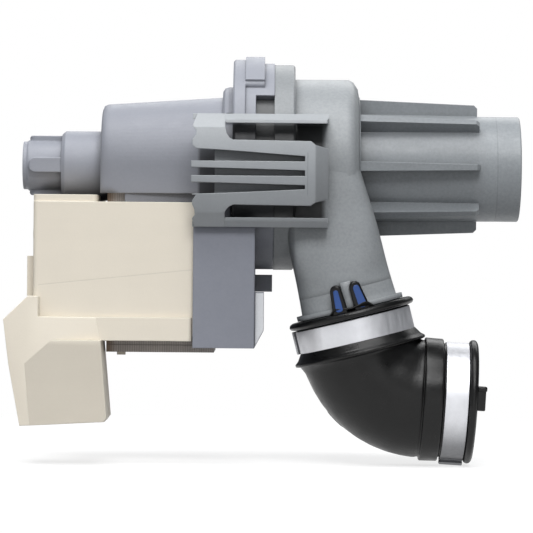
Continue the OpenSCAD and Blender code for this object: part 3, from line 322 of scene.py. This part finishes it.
def rubber(name, colour, rough):
    """Moulded rubber: dusty bloom, faint ripples, a soft sheen and painted highlights on its
    edges.
    """
    s = Shader(name)
    rounded = s.bevel(0.0005)
    dust_and_shade = s.map(s.noise(45.0, 5.0, 0.65), 0.45, 0.75, 0.0, 0.55)
    tone = s.mix(dust_and_shade, colour, shade(colour, 1.9))
    specks = s.map(s.noise(1500.0, 2.0, 0.6), 0.66, 0.74, 0.0, 0.5)
    tone = s.mix(specks, tone, shade(colour, 3.4))
    # Painted highlight: the rubber's edges are drawn lighter.
    tone = s.mix(s.times(s.edges(rounded), 0.4), tone, shade(colour, 3.0))
    s.bsdf.inputs["Specular IOR Level"].default_value = 0.32
    height = s.maths("ADD", s.noise(900.0, 3.0, 0.6), s.times(s.noise(110.0, 2.0), 1.6))
    return s.finish(tone, s.map(s.noise(120.0, 4.0), 0.3, 0.7, rough - 0.08, rough + 0.1),
                    s.bump(height, 0.22, RIPPLE_DEPTH, rounded))


def metal(name, colour, rough, scratch=(1.0, 1.0, 1.0), strength=0.15, scale=500.0):
    """Rolled or ground metal: fine scratches along one direction, and painted shade near its
    neighbours and the floor.
    """
    s = Shader(name)
    lines = s.noise(scale, 4.0, 0.6, s.scaled(scratch))
    haze = s.noise(90.0, 3.0, 0.6)
    tone = s.ramp(haze, shade(colour, 0.9), shade(colour, 1.06))
    # Painted shade: the metal is drawn darker near its neighbours and near the floor.
    metal_shade = s.map(s.hollow(METAL_SHADE_REACH), 0.25, 0.85, 0.85, 0.0)
    tone = s.mix(metal_shade, tone, shade(colour, 0.2))
    s.bsdf.inputs["Metallic"].default_value = 1.0
    return s.finish(tone, s.map(lines, 0.3, 0.7, rough - 0.07, rough + 0.1),
                    s.bump(lines, strength, SCRATCH_DEPTH, s.bevel(0.0002)))


def laminations(name, colour):
    """Edges of stacked steel sheets, half a millimetre each, with brown varnish at the far end."""
    s = Shader(name)
    x, _, z = s.axes()
    sheet = s.maths("FRACT", s.times(x, 1000.0))
    gap = s.map(s.maths("ABSOLUTE", s.maths("SUBTRACT", sheet, 0.5)), 0.18, 0.42)
    patchy = s.noise(260.0, 3.0, 0.6, s.scaled((1.0, 0.15, 0.15)))
    tone = s.ramp(patchy, shade(colour, 0.82), shade(colour, 1.16))
    tone = s.mix(s.times(gap, 0.42), tone, shade(colour, 0.35))
    far_end = s.map(x, -0.1782, -0.1752, 1.0, 0.0)
    spots = s.map(s.noise(190.0, 4.0), 0.62, 0.78, 0.0, 0.35)
    varnish = s.maths("ADD", far_end, spots, True)
    tone = s.mix(s.times(varnish, 0.7), tone, linear(96, 70, 40))
    seam = s.near(z, -0.0778, 0.0004)
    tone = s.mix(s.times(seam, 0.6), tone, shade(colour, 0.3))
    s.bsdf.inputs["Metallic"].default_value = 0.35
    height = s.maths("SUBTRACT", s.times(patchy, 0.4), s.maths("ADD", gap, seam))
    return s.finish(tone, s.map(patchy, 0.3, 0.7, 0.45, 0.62),
                    s.bump(height, 0.35, GRAIN_DEPTH))


# Places on the pump that the plastics below refer to, in metres
BRACKET_X, BRACKET_Z = -0.1130, -0.0035
TONGUE_Z = -0.0042
HEAD_CREASE_X = -0.0931
BARREL_END_X = -0.1795
PIPE_LINE_X = -0.0104


def cover_crease(s):
    """The fine slanted line across the cover's front and back, pressed in and drawn darker as
    painted shade.
    """
    x, y, z = s.axes()
    level = s.maths("ADD", s.times(x, 0.1057), -0.0303)
    line = s.near(s.maths("SUBTRACT", z, level), 0.0, 0.00035)
    on_face = s.map(s.maths("ABSOLUTE", y), 0.0385, 0.0395)
    inside = s.map(x, -0.2082, -0.2076)
    return s.times(line, on_face, inside), 0.2


def pipe_line(s):
    """The faint line round the pipe near its mouth, pressed in and drawn darker as painted shade.
    """
    return s.near(s.axes()[0], PIPE_LINE_X, 0.0003), 0.3


def shade_behind_bracket(s):
    """Painted shade on the surfaces close behind the bracket."""
    x, y, z = s.axes()
    level = s.within(z, BRACKET_Z, 0.0200, 0.0215, 0.9)
    along = s.within(x, BRACKET_X, 0.0260, 0.0280)
    return s.times(level, along, s.map(y, -0.024, -0.030))


def motor_painted_shade(s):
    """Painted shade behind the bracket, and the barrel drawn darker below than on top as painted
    shade.
    """
    x, _, z = s.axes()
    below = s.times(s.map(z, 0.030, 0.008, 0.0, 0.22), s.map(x, -0.186, -0.181))
    return s.maths("MAXIMUM", shade_behind_bracket(s), below)


def pump_painted_shade(s):
    """Painted shade behind the bracket and in the windows of the claws, where the spigot shows,
    and the flange and all left of it a little darker, also painted shade.
    """
    x, y, z = s.axes()
    r = s.maths("SQRT", s.maths("ADD", s.times(y, y), s.times(z, z)))
    spigot = s.times(s.map(x, -0.1072, -0.1078, 0.0, 0.8), s.map(r, 0.0436, 0.0432))
    flange = s.map(x, -0.0980, -0.0986, 0.0, 0.17)
    return s.maths("MAXIMUM", s.maths("MAXIMUM", shade_behind_bracket(s), spigot), flange)


def pipe_painted_shade(s):
    """The ribbed length is drawn a little darker than the mouth, as painted shade."""
    return s.map(s.axes()[0], -0.014, -0.021, 0.0, 0.15)


def soft_duct(s):
    """The volute runs into its duct over a wide fillet; the flange keeps crisp edges."""
    return s.map(s.axes()[0], -0.0975, -0.0935, 0.0005, 0.0045)


def duct_facets(s):
    """The duct's front is flatter than a round tube."""
    x, _, z = s.axes()
    duct = s.times(s.map(z, -0.028, -0.044), s.map(x, -0.0985, -0.0975))
    return [(s.times(duct, s.front(0.05, -0.35)), (0.0, -0.5, 0.0))]


def soft_barrel_end(s):
    """The barrel's far end is rounded more widely than the rest of the casing."""
    return s.map(s.near(s.axes()[0], BARREL_END_X, 0.0055), 0.0, 1.0, 0.0008, 0.0050)


def bracket_creases(s):
    """The line across the tongue, where its head begins, pressed in and drawn darker as painted
    shade.
    """
    x, _, z = s.axes()
    head = s.within(z, TONGUE_Z, 0.0085, 0.0095)
    return s.times(s.near(x, HEAD_CREASE_X, 0.0003), head, s.front()), 0.35


def bracket_facets(s):
    """The head leans back towards its tip, and the plate is crowned from top to bottom."""
    x, _, z = s.axes()
    front = s.front()
    tongue = s.within(z, TONGUE_Z, 0.0145, 0.0150)
    head = s.times(s.map(x, -0.0903, -0.0893), tongue, front)
    crown = s.times(s.map(z, -0.022, 0.015, -0.5, 0.3), front)
    return [(head, (0.65, 0.0, -0.2)), (crown, (0.0, 0.0, 1.0))]


def socket_facets(s):
    """The front of the connector housing leans down a little below its shoulder."""
    z = s.axes()[2]
    return [(s.times(s.map(z, -0.076, -0.078), s.front()), (0.0, 0.0, -0.22))]


CREAM = linear(229, 221, 206)
CREAM_LOOK = {"rough": 0.5, "mottle": 0.02, "flow": 0.1, "speck": 0.04, "shadow": 0.3}

FINISH = {
    "motor_plastic": plastic("motor_plastic", linear(144, 147, 156), 0.5, round_edge=0.0008,
                             flow=0.12, painted_shade=motor_painted_shade, soften=soft_barrel_end),
    "pump_plastic": plastic("pump_plastic", linear(148, 152, 155), 0.46, flow=0.25, speck=0.5,
                            painted_shade=pump_painted_shade, soften=soft_duct, facet=duct_facets),
    "pipe_plastic": plastic("pipe_plastic", linear(142, 147, 151), 0.42, flow=0.35, speck=0.55,
                            groove=pipe_line, painted_shade=pipe_painted_shade),
    "cream_plastic": plastic("cream_plastic", CREAM, **CREAM_LOOK),
    "white_plastic": plastic("white_plastic", linear(225, 225, 220), 0.45, mottle=0.02),
    "elbow_rubber": rubber("elbow_rubber", linear(6, 6, 6), 0.34),
    "seal_rubber": rubber("seal_rubber", linear(22, 22, 22), 0.5),
    "stainless_band": metal("stainless_band", linear(218, 219, 223), 0.46, (1.0, 1.0, 0.05), 0.1),
    "shaft_steel": metal("shaft_steel", linear(205, 207, 210), 0.25, (0.05, 1.0, 1.0)),
    "tinned_blade": metal("tinned_blade", linear(214, 213, 208), 0.3),
    "core_steel": laminations("core_steel", linear(150, 144, 140)),
    "ferrite": plastic("ferrite", linear(70, 70, 74), 0.6),
    "ceramic": plastic("ceramic", linear(235, 232, 226), 0.25, grain=0.05, mottle=0.01),
    "copper_wire": metal("copper_wire", linear(190, 112, 60), 0.35, (0.05, 0.05, 1.0), 0.6, 900.0),
}
# Nodes that look a little different from the others in their slot
OWN_FINISH = {
    # The shroud has the motor's grey, drawn darker as painted shade.
    "stator_shroud": plastic("shroud_plastic", linear(133, 136, 146), 0.55, flow=0.1),
    # The bracket's edges get stronger painted highlights.
    "latch_bracket": plastic("bracket_plastic", linear(158, 162, 166), 0.44, edge=0.8,
                             groove=bracket_creases, facet=bracket_facets),
    "coil_cover": plastic("cover_plastic", CREAM, groove=cover_crease, **CREAM_LOOK),
    "connector_housing": plastic("housing_plastic", CREAM, facet=socket_facets, **CREAM_LOOK),
}
# Materials of marks that stand on pieces of another material
PAINT = plastic("marking_paint", linear(46, 78, 140), 0.4, grain=0.5, mottle=0.22, edge=0.0,
                grain_size=700.0)
LABEL = plastic("blank_label", linear(226, 228, 232), 0.3, grain=0.05, mottle=0.015, edge=0.1)

for sub in frame["record"]["subparts"]:
    obj = nodes.get(sub["node"])
    if obj is None:
        continue
    mat = OWN_FINISH.get(sub["node"], FINISH[sub["material_slot"]])
    if not obj.material_slots:
        obj.data.materials.append(mat)
    for material_slot in obj.material_slots:
        material_slot.material = mat


# The elbow and its duct, in millimetres, with the values of the part's source. Lengths along
# the two straight ends are measured from CORNER, where their axes meet.
CORNER = Vector((-64.4, -20.0, -99.2))
TILT = math.radians(14.0)
OUT_TILT = math.radians(3.0)
DUCT_X = Vector((math.cos(TILT), 0, math.sin(TILT)))
DUCT_Z = Vector((-math.sin(TILT), 0, math.cos(TILT)))
OUT_X = Vector((-math.sin(OUT_TILT), 0, -math.cos(OUT_TILT)))
OUT_Z = Vector((math.cos(OUT_TILT), 0, -math.sin(OUT_TILT)))
Y = Vector((0, 1, 0))

BEND_R = 29.6
BEND_ANGLE = math.pi / 2 - TILT - OUT_TILT
REACH = BEND_R * math.tan(BEND_ANGLE / 2)
BEND_HUB = CORNER + DUCT_Z * REACH + DUCT_X * BEND_R

BAND_WIDTH = 10.0
LIP = 3.4
INLET_CLAMP = REACH + 7.6
OUTLET_CLAMP = REACH + 14.1
INLET_END = INLET_CLAMP + BAND_WIDTH / 2 + 0.3 + LIP
OUTLET_END = OUTLET_CLAMP + BAND_WIDTH / 2 + 0.4 + LIP
CUFF_R = 24.6
BORE_R = 21.2

# Lengths along the elbow's path, from its inlet end
BEND_START = INLET_END - REACH
BEND_LENGTH = BEND_R * BEND_ANGLE
BEND_END = BEND_START + BEND_LENGTH
PATH_END = BEND_END + OUTLET_END - REACH

# Points on one circle round the elbow
ROUND = 128


def duct_point(x, y, z):
    """A point of the duct's frame: z runs up its axis, y to the back."""
    return CORNER + DUCT_X * x + Y * y + DUCT_Z * z


def outlet_point(x, y, z):
    """A point of the outlet's frame: z runs out of the mouth, y to the back."""
    return CORNER + OUT_X * x + Y * y + OUT_Z * z


def make(name, verts, faces, slot, mat=None, bevel=0.0, segments=2, angle=35.0, smooth=True,
         replaces=(), weld=0.0):
    """A piece of the pump's body from points in millimetres."""
    bm = bmesh.new()
    made = [bm.verts.new(Vector(v) * MM) for v in verts]
    for face in faces:
        bm.faces.new([made[i] for i in face])
    if weld:
        bmesh.ops.remove_doubles(bm, verts=bm.verts, dist=weld * MM)
    bmesh.ops.recalc_face_normals(bm, faces=bm.faces)
    mesh = bpy.data.meshes.new(name)
    bm.to_mesh(mesh)
    bm.free()
    mesh.materials.append(mat or FINISH[slot])
    obj = bpy.data.objects.new(name, mesh)
    scene.collection.objects.link(obj)
    if bevel:
        mod = obj.modifiers.new("round", "BEVEL")
        mod.width = bevel * MM
        mod.segments = segments
        mod.limit_method = "ANGLE"
        mod.angle_limit = math.radians(angle)
    if smooth:
        for polygon in mesh.polygons:
            polygon.use_smooth = True
        if bevel:
            weighted = obj.modifiers.new("normals", "WEIGHTED_NORMAL")
            weighted.keep_sharp = True
    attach(obj, "pump_body")
    for node in replaces:
        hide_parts(node)


def loft(rings, closed=True):
    """Faces that join rows of points, each row closed on itself; closed joins last to first."""
    count = len(rings[0])
    rows = len(rings)
    faces = []
    for i in range(rows if closed else rows - 1):
        j = (i + 1) % rows
        for k in range(count):
            m = (k + 1) % count
            faces.append((i * count + k, i * count + m, j * count + m, j * count + k))
    return [p for ring in rings for p in ring], faces


def walls(n):
    """Faces that join an outline of n points to its copy, which follows it."""
    return [(k, (k + 1) % n, n + (k + 1) % n, n + k) for k in range(n)]


def path_frame(s):
    """The elbow's axis at length s of its path, and the direction to the inside of the bend."""
    if s <= BEND_START:
        return CORNER + DUCT_Z * (INLET_END - s), DUCT_X
    turn = min((s - BEND_START) / BEND_R, BEND_ANGLE)
    inward = Vector((math.cos(TILT + turn), 0, math.sin(TILT + turn)))
    if s <= BEND_END:
        return BEND_HUB - inward * BEND_R, inward
    return CORNER + OUT_Z * (REACH + s - BEND_START - BEND_LENGTH), inward


def path_ring(s, r, rippled=False):
    """A circle round the path, with faint ripples on the front of the bend if they are wanted."""
    centre, inward = path_frame(s)
    ripple = 0.0
    if rippled and BEND_START + 4 < s < BEND_END - 2:
        ripple = 0.12 * math.sin(s * 0.35)
    points = []
    for k in range(ROUND):
        a = 2 * math.pi * k / ROUND
        bulge = ripple * max(0.0, -math.sin(a))
        points.append(centre + (inward * math.cos(a) + Y * math.sin(a)) * (r + bulge))
    return points


def cuff_ring(s, r):
    """A circle square to the inlet cuff at length s from its end."""
    angles = [2 * math.pi * k / ROUND for k in range(ROUND)]
    return [duct_point(r * math.cos(a), r * math.sin(a), INLET_END - s) for a in angles]


def round_corners(points, radius):
    """A polyline of (s, r) with its corners rounded."""
    steps = 4
    out = [points[0]]
    for before, here, after in zip(points, points[1:], points[2:]):
        a, b, c = Vector(before), Vector(here), Vector(after)
        p = b + (a - b).normalized() * min(radius, (a - b).length * 0.45)
        q = b + (c - b).normalized() * min(radius, (c - b).length * 0.45)
        for i in range(steps + 1):
            t = i / steps
            out.append(tuple(p * (1 - t) ** 2 + b * 2 * t * (1 - t) + q * t ** 2))
    out.append(points[-1])
    return out


def elbow():
    """The rubber elbow from profiles of (length, radius): inlet cuff, outside, and the bore."""
    lip_r, end = 22.0, PATH_END
    cuff = [(0.0, lip_r), (0.0, 26.0), (0.7, 27.2), (1.9, 27.6), (2.9, 26.9), (LIP, CUFF_R),
            (13.3, CUFF_R), (13.5, 25.4), (16.6, 27.4), (17.8, 28.9), (18.8, 28.8), (19.2, 26.9)]
    outer = [(BEND_START + 3.2, 25.7)]
    outer += [(BEND_START + BEND_LENGTH * t, 25.5)
              for t in (0.15, 0.2, 0.3, 0.4, 0.5, 0.6, 0.7, 0.8, 0.9, 0.97)]
    outlet = [(-0.1, 24.9), (0.1, 26.7), (7.9, 26.5), (8.2, CUFF_R), (19.2, CUFF_R),
              (19.6, 26.2), (20.6, 26.8), (22.0, 26.7)]
    outer += [(BEND_END + s, r) for s, r in outlet] + [(end, 25.4), (end, lip_r)]
    inner = [(end, lip_r), (end - 0.8, BORE_R)]
    inner += [(end - 10, BORE_R - 0.1), (BEND_END + 1.0, BORE_R - 0.1)]
    inner += [(BEND_START + BEND_LENGTH * t, 20.8)
              for t in (0.95, 0.85, 0.75, 0.65, 0.55, 0.45, 0.35, 0.25, 0.15, 0.05)]
    inner += [(BEND_START - 2.2, 21.15), (1.0, 21.15)]
    rings = [cuff_ring(s, r) for s, r in round_corners(cuff, 0.45)]
    rings += [path_ring(s, r, rippled=True) for s, r in round_corners(outer, 0.6)]
    rings += [path_ring(s, r) for s, r in round_corners(inner, 0.4)]
    verts, faces = loft(rings)
    make("elbow_skin", verts, faces, "elbow_rubber", replaces=["discharge_elbow"], weld=0.01)


def wrapped(outline, r_in, r_out):
    """A plate of (width, height) outline bent round the duct's front, from r_in to r_out."""
    verts = []
    for r in (r_in, r_out):
        for t, z in outline:
            a = t / r_out
            verts.append(duct_point(r * math.sin(a), -r * math.cos(a), z))
    n = len(outline)
    return verts, [tuple(range(n)), tuple(range(2 * n - 1, n - 1, -1))] + walls(n)


def capsule(middle, low, high, half_low, half_high, lean):
    """An upright outline with round ends that narrows toward the top and leans sideways."""
    steps = 10
    points = []
    for i in range(steps + 1):
        a = math.pi + math.pi * i / steps
        points.append((middle + half_low * math.cos(a), low + half_low * 0.6 * math.sin(a)))
    for i in range(steps + 1):
        a = math.pi * i / steps
        points.append((middle + lean + half_high * math.cos(a), high + half_high * math.sin(a)))
    return points


def keys():
    """The two rubber loops beside the duct's key, their paint marks, and the mound below."""
    low, high = INLET_END - 1.5, INLET_END + 9.6
    for side, middle, lean, half in (("left", -5.2, 0.2, 1.6), ("right", 5.2, -1.4, 1.9)):
        verts, faces = wrapped(capsule(middle, low, high, 3.7, 2.6, lean), 21.6, 25.6)
        make("key_loop_" + side, verts, faces, "elbow_rubber", bevel=1.0, segments=4)
        mark = capsule(middle, low + 3.0, high - 0.6, half, half - 0.5, lean * 0.8)
        verts, faces = wrapped(mark, 25.1, 25.72)
        make("paint_mark_" + side, verts, faces, "elbow_rubber", PAINT, bevel=0.2)
    mound = [(-11.5, -0.4), (-9.6, 0.8), (-8.4, 1.9), (-6.4, 2.6), (-4.0, 2.0), (0.0, 1.5),
             (4.0, 2.2), (6.4, 3.0), (8.2, 2.2), (9.4, 1.0), (11.5, -0.4), (11.5, -1.6),
             (-11.5, -1.6)]
    verts, faces = wrapped([(t, INLET_END + h) for t, h in mound], 22.4, 25.9)
    make("key_mound", verts, faces, "elbow_rubber", bevel=0.8, segments=3)


def outlet_block(low, high):
    """A box between two corners of the outlet's frame."""
    verts = [outlet_point(x, y, z) for x in (low[0], high[0]) for y in (low[1], high[1])
             for z in (low[2], high[2])]
    return verts, [(0, 1, 3, 2), (4, 6, 7, 5), (0, 4, 5, 1), (2, 3, 7, 6), (0, 2, 6, 4),
                   (1, 5, 7, 3)]


def pull_tab():
    """The tab at the elbow's mouth and the thicker ear at its end."""
    verts, faces = outlet_block((-7.3, -24.0, OUTLET_END - 0.8), (2.8, -21.7, OUTLET_END + 3.4))
    make("pull_tab", verts, faces, "elbow_rubber", bevel=0.6, segments=3)
    verts, faces = outlet_block((-7.7, -24.4, OUTLET_END - 0.5), (-5.3, -21.5, OUTLET_END + 3.8))
    make("pull_tab_ear", verts, faces, "elbow_rubber", bevel=0.8, segments=3)


def bend_fin():
    """The short fin on the outside of the bend."""
    steps, start, sweep = 12, 217.5, 15
    rings = []
    for i in range(steps + 1):
        t = i / steps
        a = math.radians(start + sweep * t)
        out = Vector((math.cos(a), 0, math.sin(a)))
        top = BEND_R + 24.3 + 1.4 * min(1.0, 5 * t, 5 * (1 - t)) ** 0.6
        low = BEND_R + 23.0
        side = [(low, 1.3), (top - 0.3, 1.1), (top, 0.7)]
        rings.append([BEND_HUB + out * r - Y * y for r, y in side]
                     + [BEND_HUB + out * r + Y * y for r, y in reversed(side)])
    verts, faces = loft(rings, closed=False)
    faces += [(0, 1, 2, 3, 4, 5), tuple(range(len(verts) - 1, len(verts) - 7, -1))]
    make("bend_fin", verts, faces, "elbow_rubber", bevel=0.2)


def clamp_path(ear_angle, radius):
    """Centreline of a band and its crimped ear, as (x, y) points about the pipe's axis."""
    half, height, count = 3.1, 2.6, 120

    def turned_point(u, v):
        return (u * math.cos(ear_angle) - v * math.sin(ear_angle),
                u * math.sin(ear_angle) + v * math.cos(ear_angle))

    gap = math.asin(half / radius)
    points = []
    for i in range(count + 1):
        a = gap + (2 * math.pi - 2 * gap) * i / count
        points.append(turned_point(radius * math.sin(a), radius * math.cos(a)))
    foot = radius * math.cos(gap)
    side = [(-0.1, 0.2), (0.5, 0.3), (1.0, 0.42), (0.7, 0.6), (0.35, 0.75), (0.5, 0.92),
            (1.1, 1.0)]
    ear = [(-half + inset, foot + height * rise) for inset, rise in side]
    ear += [(half - inset, foot + height * rise) for inset, rise in reversed(side)]
    return points + [turned_point(u, v) for u, v in ear]


def clamp(name, node, point, at, ear_angle):
    """A stainless band with rounded edges and its crimped ear."""
    thick = 0.62
    section = [(-0.5, -0.5), (-0.5, 0.5), (-0.2, 0.5), (0.25, 0.495), (0.5, 0.47), (0.5, -0.47),
               (0.25, -0.495), (-0.2, -0.5)]
    path = clamp_path(ear_angle, CUFF_R + 0.1 + thick / 2)
    rings = []
    for i, (x, y) in enumerate(path):
        x0, y0 = path[i - 1]
        x1, y1 = path[(i + 1) % len(path)]
        along = Vector((x1 - x0, y1 - y0)).normalized()
        out = Vector((-along.y, along.x))
        rings.append([point(x + out.x * n * thick, y + out.y * n * thick, at + w * BAND_WIDTH)
                      for n, w in section])
    verts, faces = loft(rings)
    make(name, verts, faces, "stainless_band", replaces=[node], bevel=0.12)


def socket_shoulder():
    """The shallow sloped planes at the top and left of the connector housing's front."""
    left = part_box("connector_housing")[0][0] / MM + 12.4
    back_y = -37.6
    outline = [(8.6, -75.72, -45.02), (29.0, -75.74, -41.7), (27.0, -66.0, -41.7),
               (2.6, -65.8, -43.5), (2.6, -57.1, -43.3), (-1.95, -57.05, -43.3),
               (-12.3, -67.05, -43.3), (-9.9, -86.0, -43.5), (-4.95, -112.45, -43.5),
               (-0.6, -112.1, -45.02), (-2.9, -86.0, -45.02)]
    verts = [(left + x, y, z) for x, z, y in outline]
    verts += [(left + x, back_y, z) for x, z, y in outline]
    n = len(outline)
    faces = [(0, 1, 2), (0, 2, 3), (0, 3, 10), (3, 5, 10), (3, 4, 5), (5, 6, 10), (6, 7, 10),
             (7, 8, 9, 10)]
    faces += walls(n) + [tuple(range(n, 2 * n))]
    make("socket_shoulder", verts, faces, "cream_plastic", bevel=0.12, angle=20.0)


DUCT_R = 21.1
DUCT_TOP = 97.2 / math.cos(TILT)
DUCT_FLARE = math.tan(math.radians(3.9))
VOLUTE_R = 38.7


def eased(t):
    """0 to 1 with level ends, held at both."""
    t = min(1.0, max(0.0, t))
    return t * t * (3 - 2 * t)


def under_volute(point):
    """Towards the rotor's height the duct's front becomes the volute's own round, which drops
    away at its right edge. The point is moved back to it over a few millimetres of height."""
    edge_x, edge_width, edge_drop = -76.0, 5.0, 3.9
    below, blend = 0.5, 7.0
    x, y, z = point
    if z < -8.0:
        return point
    reach = math.sqrt(VOLUTE_R ** 2 - z * z) - 0.1
    if x > edge_x:
        reach -= edge_drop * ((x - edge_x) / edge_width) ** 2.5
    if -y < reach:
        return point
    return Vector((x, -(reach + (-y - reach) * eased((-z - below) / blend)), z))


def duct_fairing():
    """A shell over the duct's front, round low down and flat further up, where it leaves the
    volute flush. Its two edges end inside the duct's wall."""
    low, high, steps = INLET_END + 8.0, DUCT_TOP + 3.0, 40
    thick, proud, clear, sunk = 1.5, 0.9, 0.03, 0.5
    round_length, flattening, squareness = 2.0, 28.0, 3.2
    low_depth, high_depth = DUCT_R - (low - INLET_END) * DUCT_FLARE, 18.75
    angles = [math.radians(-25 + 230 * k / 80) for k in range(81)]
    rings = []
    for i in range(steps + 1):
        s = low + (high - low) * i / steps
        flat = eased((s - low - round_length) / flattening)
        edge = DUCT_R - (s - INLET_END) * DUCT_FLARE + clear + proud * flat
        depth = low_depth + clear + (high_depth - low_depth) * (s - low) / (high - low)
        if i == 0:
            edge, depth = edge - sunk, depth - sunk
        power = 2.0 / (2.0 + squareness * flat)
        outer = []
        for a in angles:
            c, d = math.cos(a), math.sin(a)
            if d > 0:
                x, y = edge * math.copysign(abs(c) ** power, c), -depth * d ** power
            else:
                x, y = edge * c, -0.45 * edge * d
            outer.append(under_volute(duct_point(x, y, s)))
        centre = duct_point(0, 0, s)
        inner = [p + (centre - p).normalized() * thick for p in outer]
        rings.append(outer + inner[::-1])
    verts, faces = loft(rings, closed=False)
    count = len(rings[0])
    for first in (0, len(verts) - count):
        faces += [(first + k, first + k + 1, first + count - 2 - k, first + count - 1 - k)
                  for k in range(len(angles) - 1)]
    make("duct_fairing", verts, faces, "pump_plastic")


def blank_label():
    """The plain label on the shroud's side."""
    outline = [(-114.9, -55.0), (-111.35, -55.0), (-111.35, -70.9), (-114.9, -77.6)]
    verts = [(x, y, z) for y in (-39.22, -38.98) for x, z in outline]
    faces = [(0, 1, 2, 3), (7, 6, 5, 4)] + walls(4)
    make("blank_label", verts, faces, "white_plastic", LABEL, bevel=0.08, smooth=False)


elbow()
keys()
pull_tab()
bend_fin()
clamp("inlet_band", "inlet_clamp", duct_point, INLET_CLAMP, math.radians(72))
clamp("outlet_band", "outlet_clamp", outlet_point, OUTLET_CLAMP, math.radians(-90))
socket_shoulder()
duct_fairing()
blank_label()


def stage_material(name):
    """White paper that keeps a soft shadow near the object and runs into white further off."""
    s = Shader(name)
    s.bsdf.inputs["Roughness"].default_value = 1.0
    s.bsdf.inputs["Specular IOR Level"].default_value = 0.0
    away = s.add("ShaderNodeVectorMath", operation="DISTANCE")
    s.link(s.coord, away.inputs[0])
    away.inputs[1].default_value = (-0.11, 0.0, -0.13)
    fade = s.map(away.outputs["Value"], 0.16, 0.42)
    paper = s.ramp(s.noise(3.0, 2.0), (0.36, 0.36, 0.36), (0.37, 0.37, 0.37))
    s.link(s.mix(fade, paper, (0.0, 0.0, 0.0)), s.bsdf.inputs["Base Color"])
    path = s.add("ShaderNodeLightPath")
    seen = s.maths("MAXIMUM", path.outputs["Is Camera Ray"], path.outputs["Is Glossy Ray"])
    seen = s.maths("MAXIMUM", seen, path.outputs["Is Transmission Ray"])
    s.bsdf.inputs["Emission Color"].default_value = (1, 1, 1, 1)
    s.link(s.times(seen, s.map(fade, 0.0, 1.0, 0.72, 1.0)), s.bsdf.inputs["Emission Strength"])
    return s.mat


floor_z = cad_box[0][2] - 0.0002
floor_mesh = bpy.data.meshes.new("floor")
floor_mesh.from_pydata([(-3, -2.5, floor_z), (3, -2.5, floor_z), (3, 3.5, floor_z),
                        (-3, 3.5, floor_z)], [], [(0, 1, 2, 3)])
floor_mesh.materials.append(stage_material("floor_white"))
floor = bpy.data.objects.new("floor", floor_mesh)
scene.collection.objects.link(floor)

# The camera sees plain white around the object, which itself is lit by a dim, cool sky
world = bpy.data.worlds.new("studio")
scene.world = world
world.use_nodes = True
tree = world.node_tree
tree.nodes.clear()
world_out = tree.nodes.new("ShaderNodeOutputWorld")
sky = tree.nodes.new("ShaderNodeBackground")
seen_white = tree.nodes.new("ShaderNodeBackground")
choice = tree.nodes.new("ShaderNodeMixShader")
ray = tree.nodes.new("ShaderNodeLightPath")
sky.inputs["Color"].default_value = (0.93, 0.96, 1.0, 1)
sky.inputs["Strength"].default_value = 0.2
seen_white.inputs["Color"].default_value = (1, 1, 1, 1)
seen_white.inputs["Strength"].default_value = 1.0
tree.links.new(ray.outputs["Is Camera Ray"], choice.inputs["Fac"])
tree.links.new(sky.outputs[0], choice.inputs[1])
tree.links.new(seen_white.outputs[0], choice.inputs[2])
tree.links.new(choice.outputs[0], world_out.inputs["Surface"])


def softbox(name, place, target, size, power):
    """A rectangular lamp at a place, turned to a target; size in metres and power in watts."""
    data = bpy.data.lights.new(name, "AREA")
    data.shape = "RECTANGLE"
    data.size, data.size_y = size
    data.energy = power
    obj = bpy.data.objects.new(name, data)
    scene.collection.objects.link(obj)
    obj.location = place
    obj.rotation_euler = (Vector(target) - Vector(place)).to_track_quat("-Z", "Y").to_euler()


softbox("key_top", (-0.25, -0.3, 1.15), (-0.11, -0.02, -0.04), (1.1, 0.6), 13.6)
softbox("front_high", (-0.05, -1.25, 1.05), (-0.11, 0.0, -0.05), (0.9, 0.5), 15.0)
softbox("front_fill", (0.1, -1.5, 0.0), (-0.11, 0.0, -0.05), (0.9, 0.6), 2.3)
softbox("left_fill", (-1.0, -0.6, 0.1), (-0.11, 0.0, -0.05), (0.6, 0.9), 1.2)
softbox("back_rim", (0.1, 1.0, 0.8), (-0.11, 0.0, -0.02), (1.2, 0.6), 6.0)
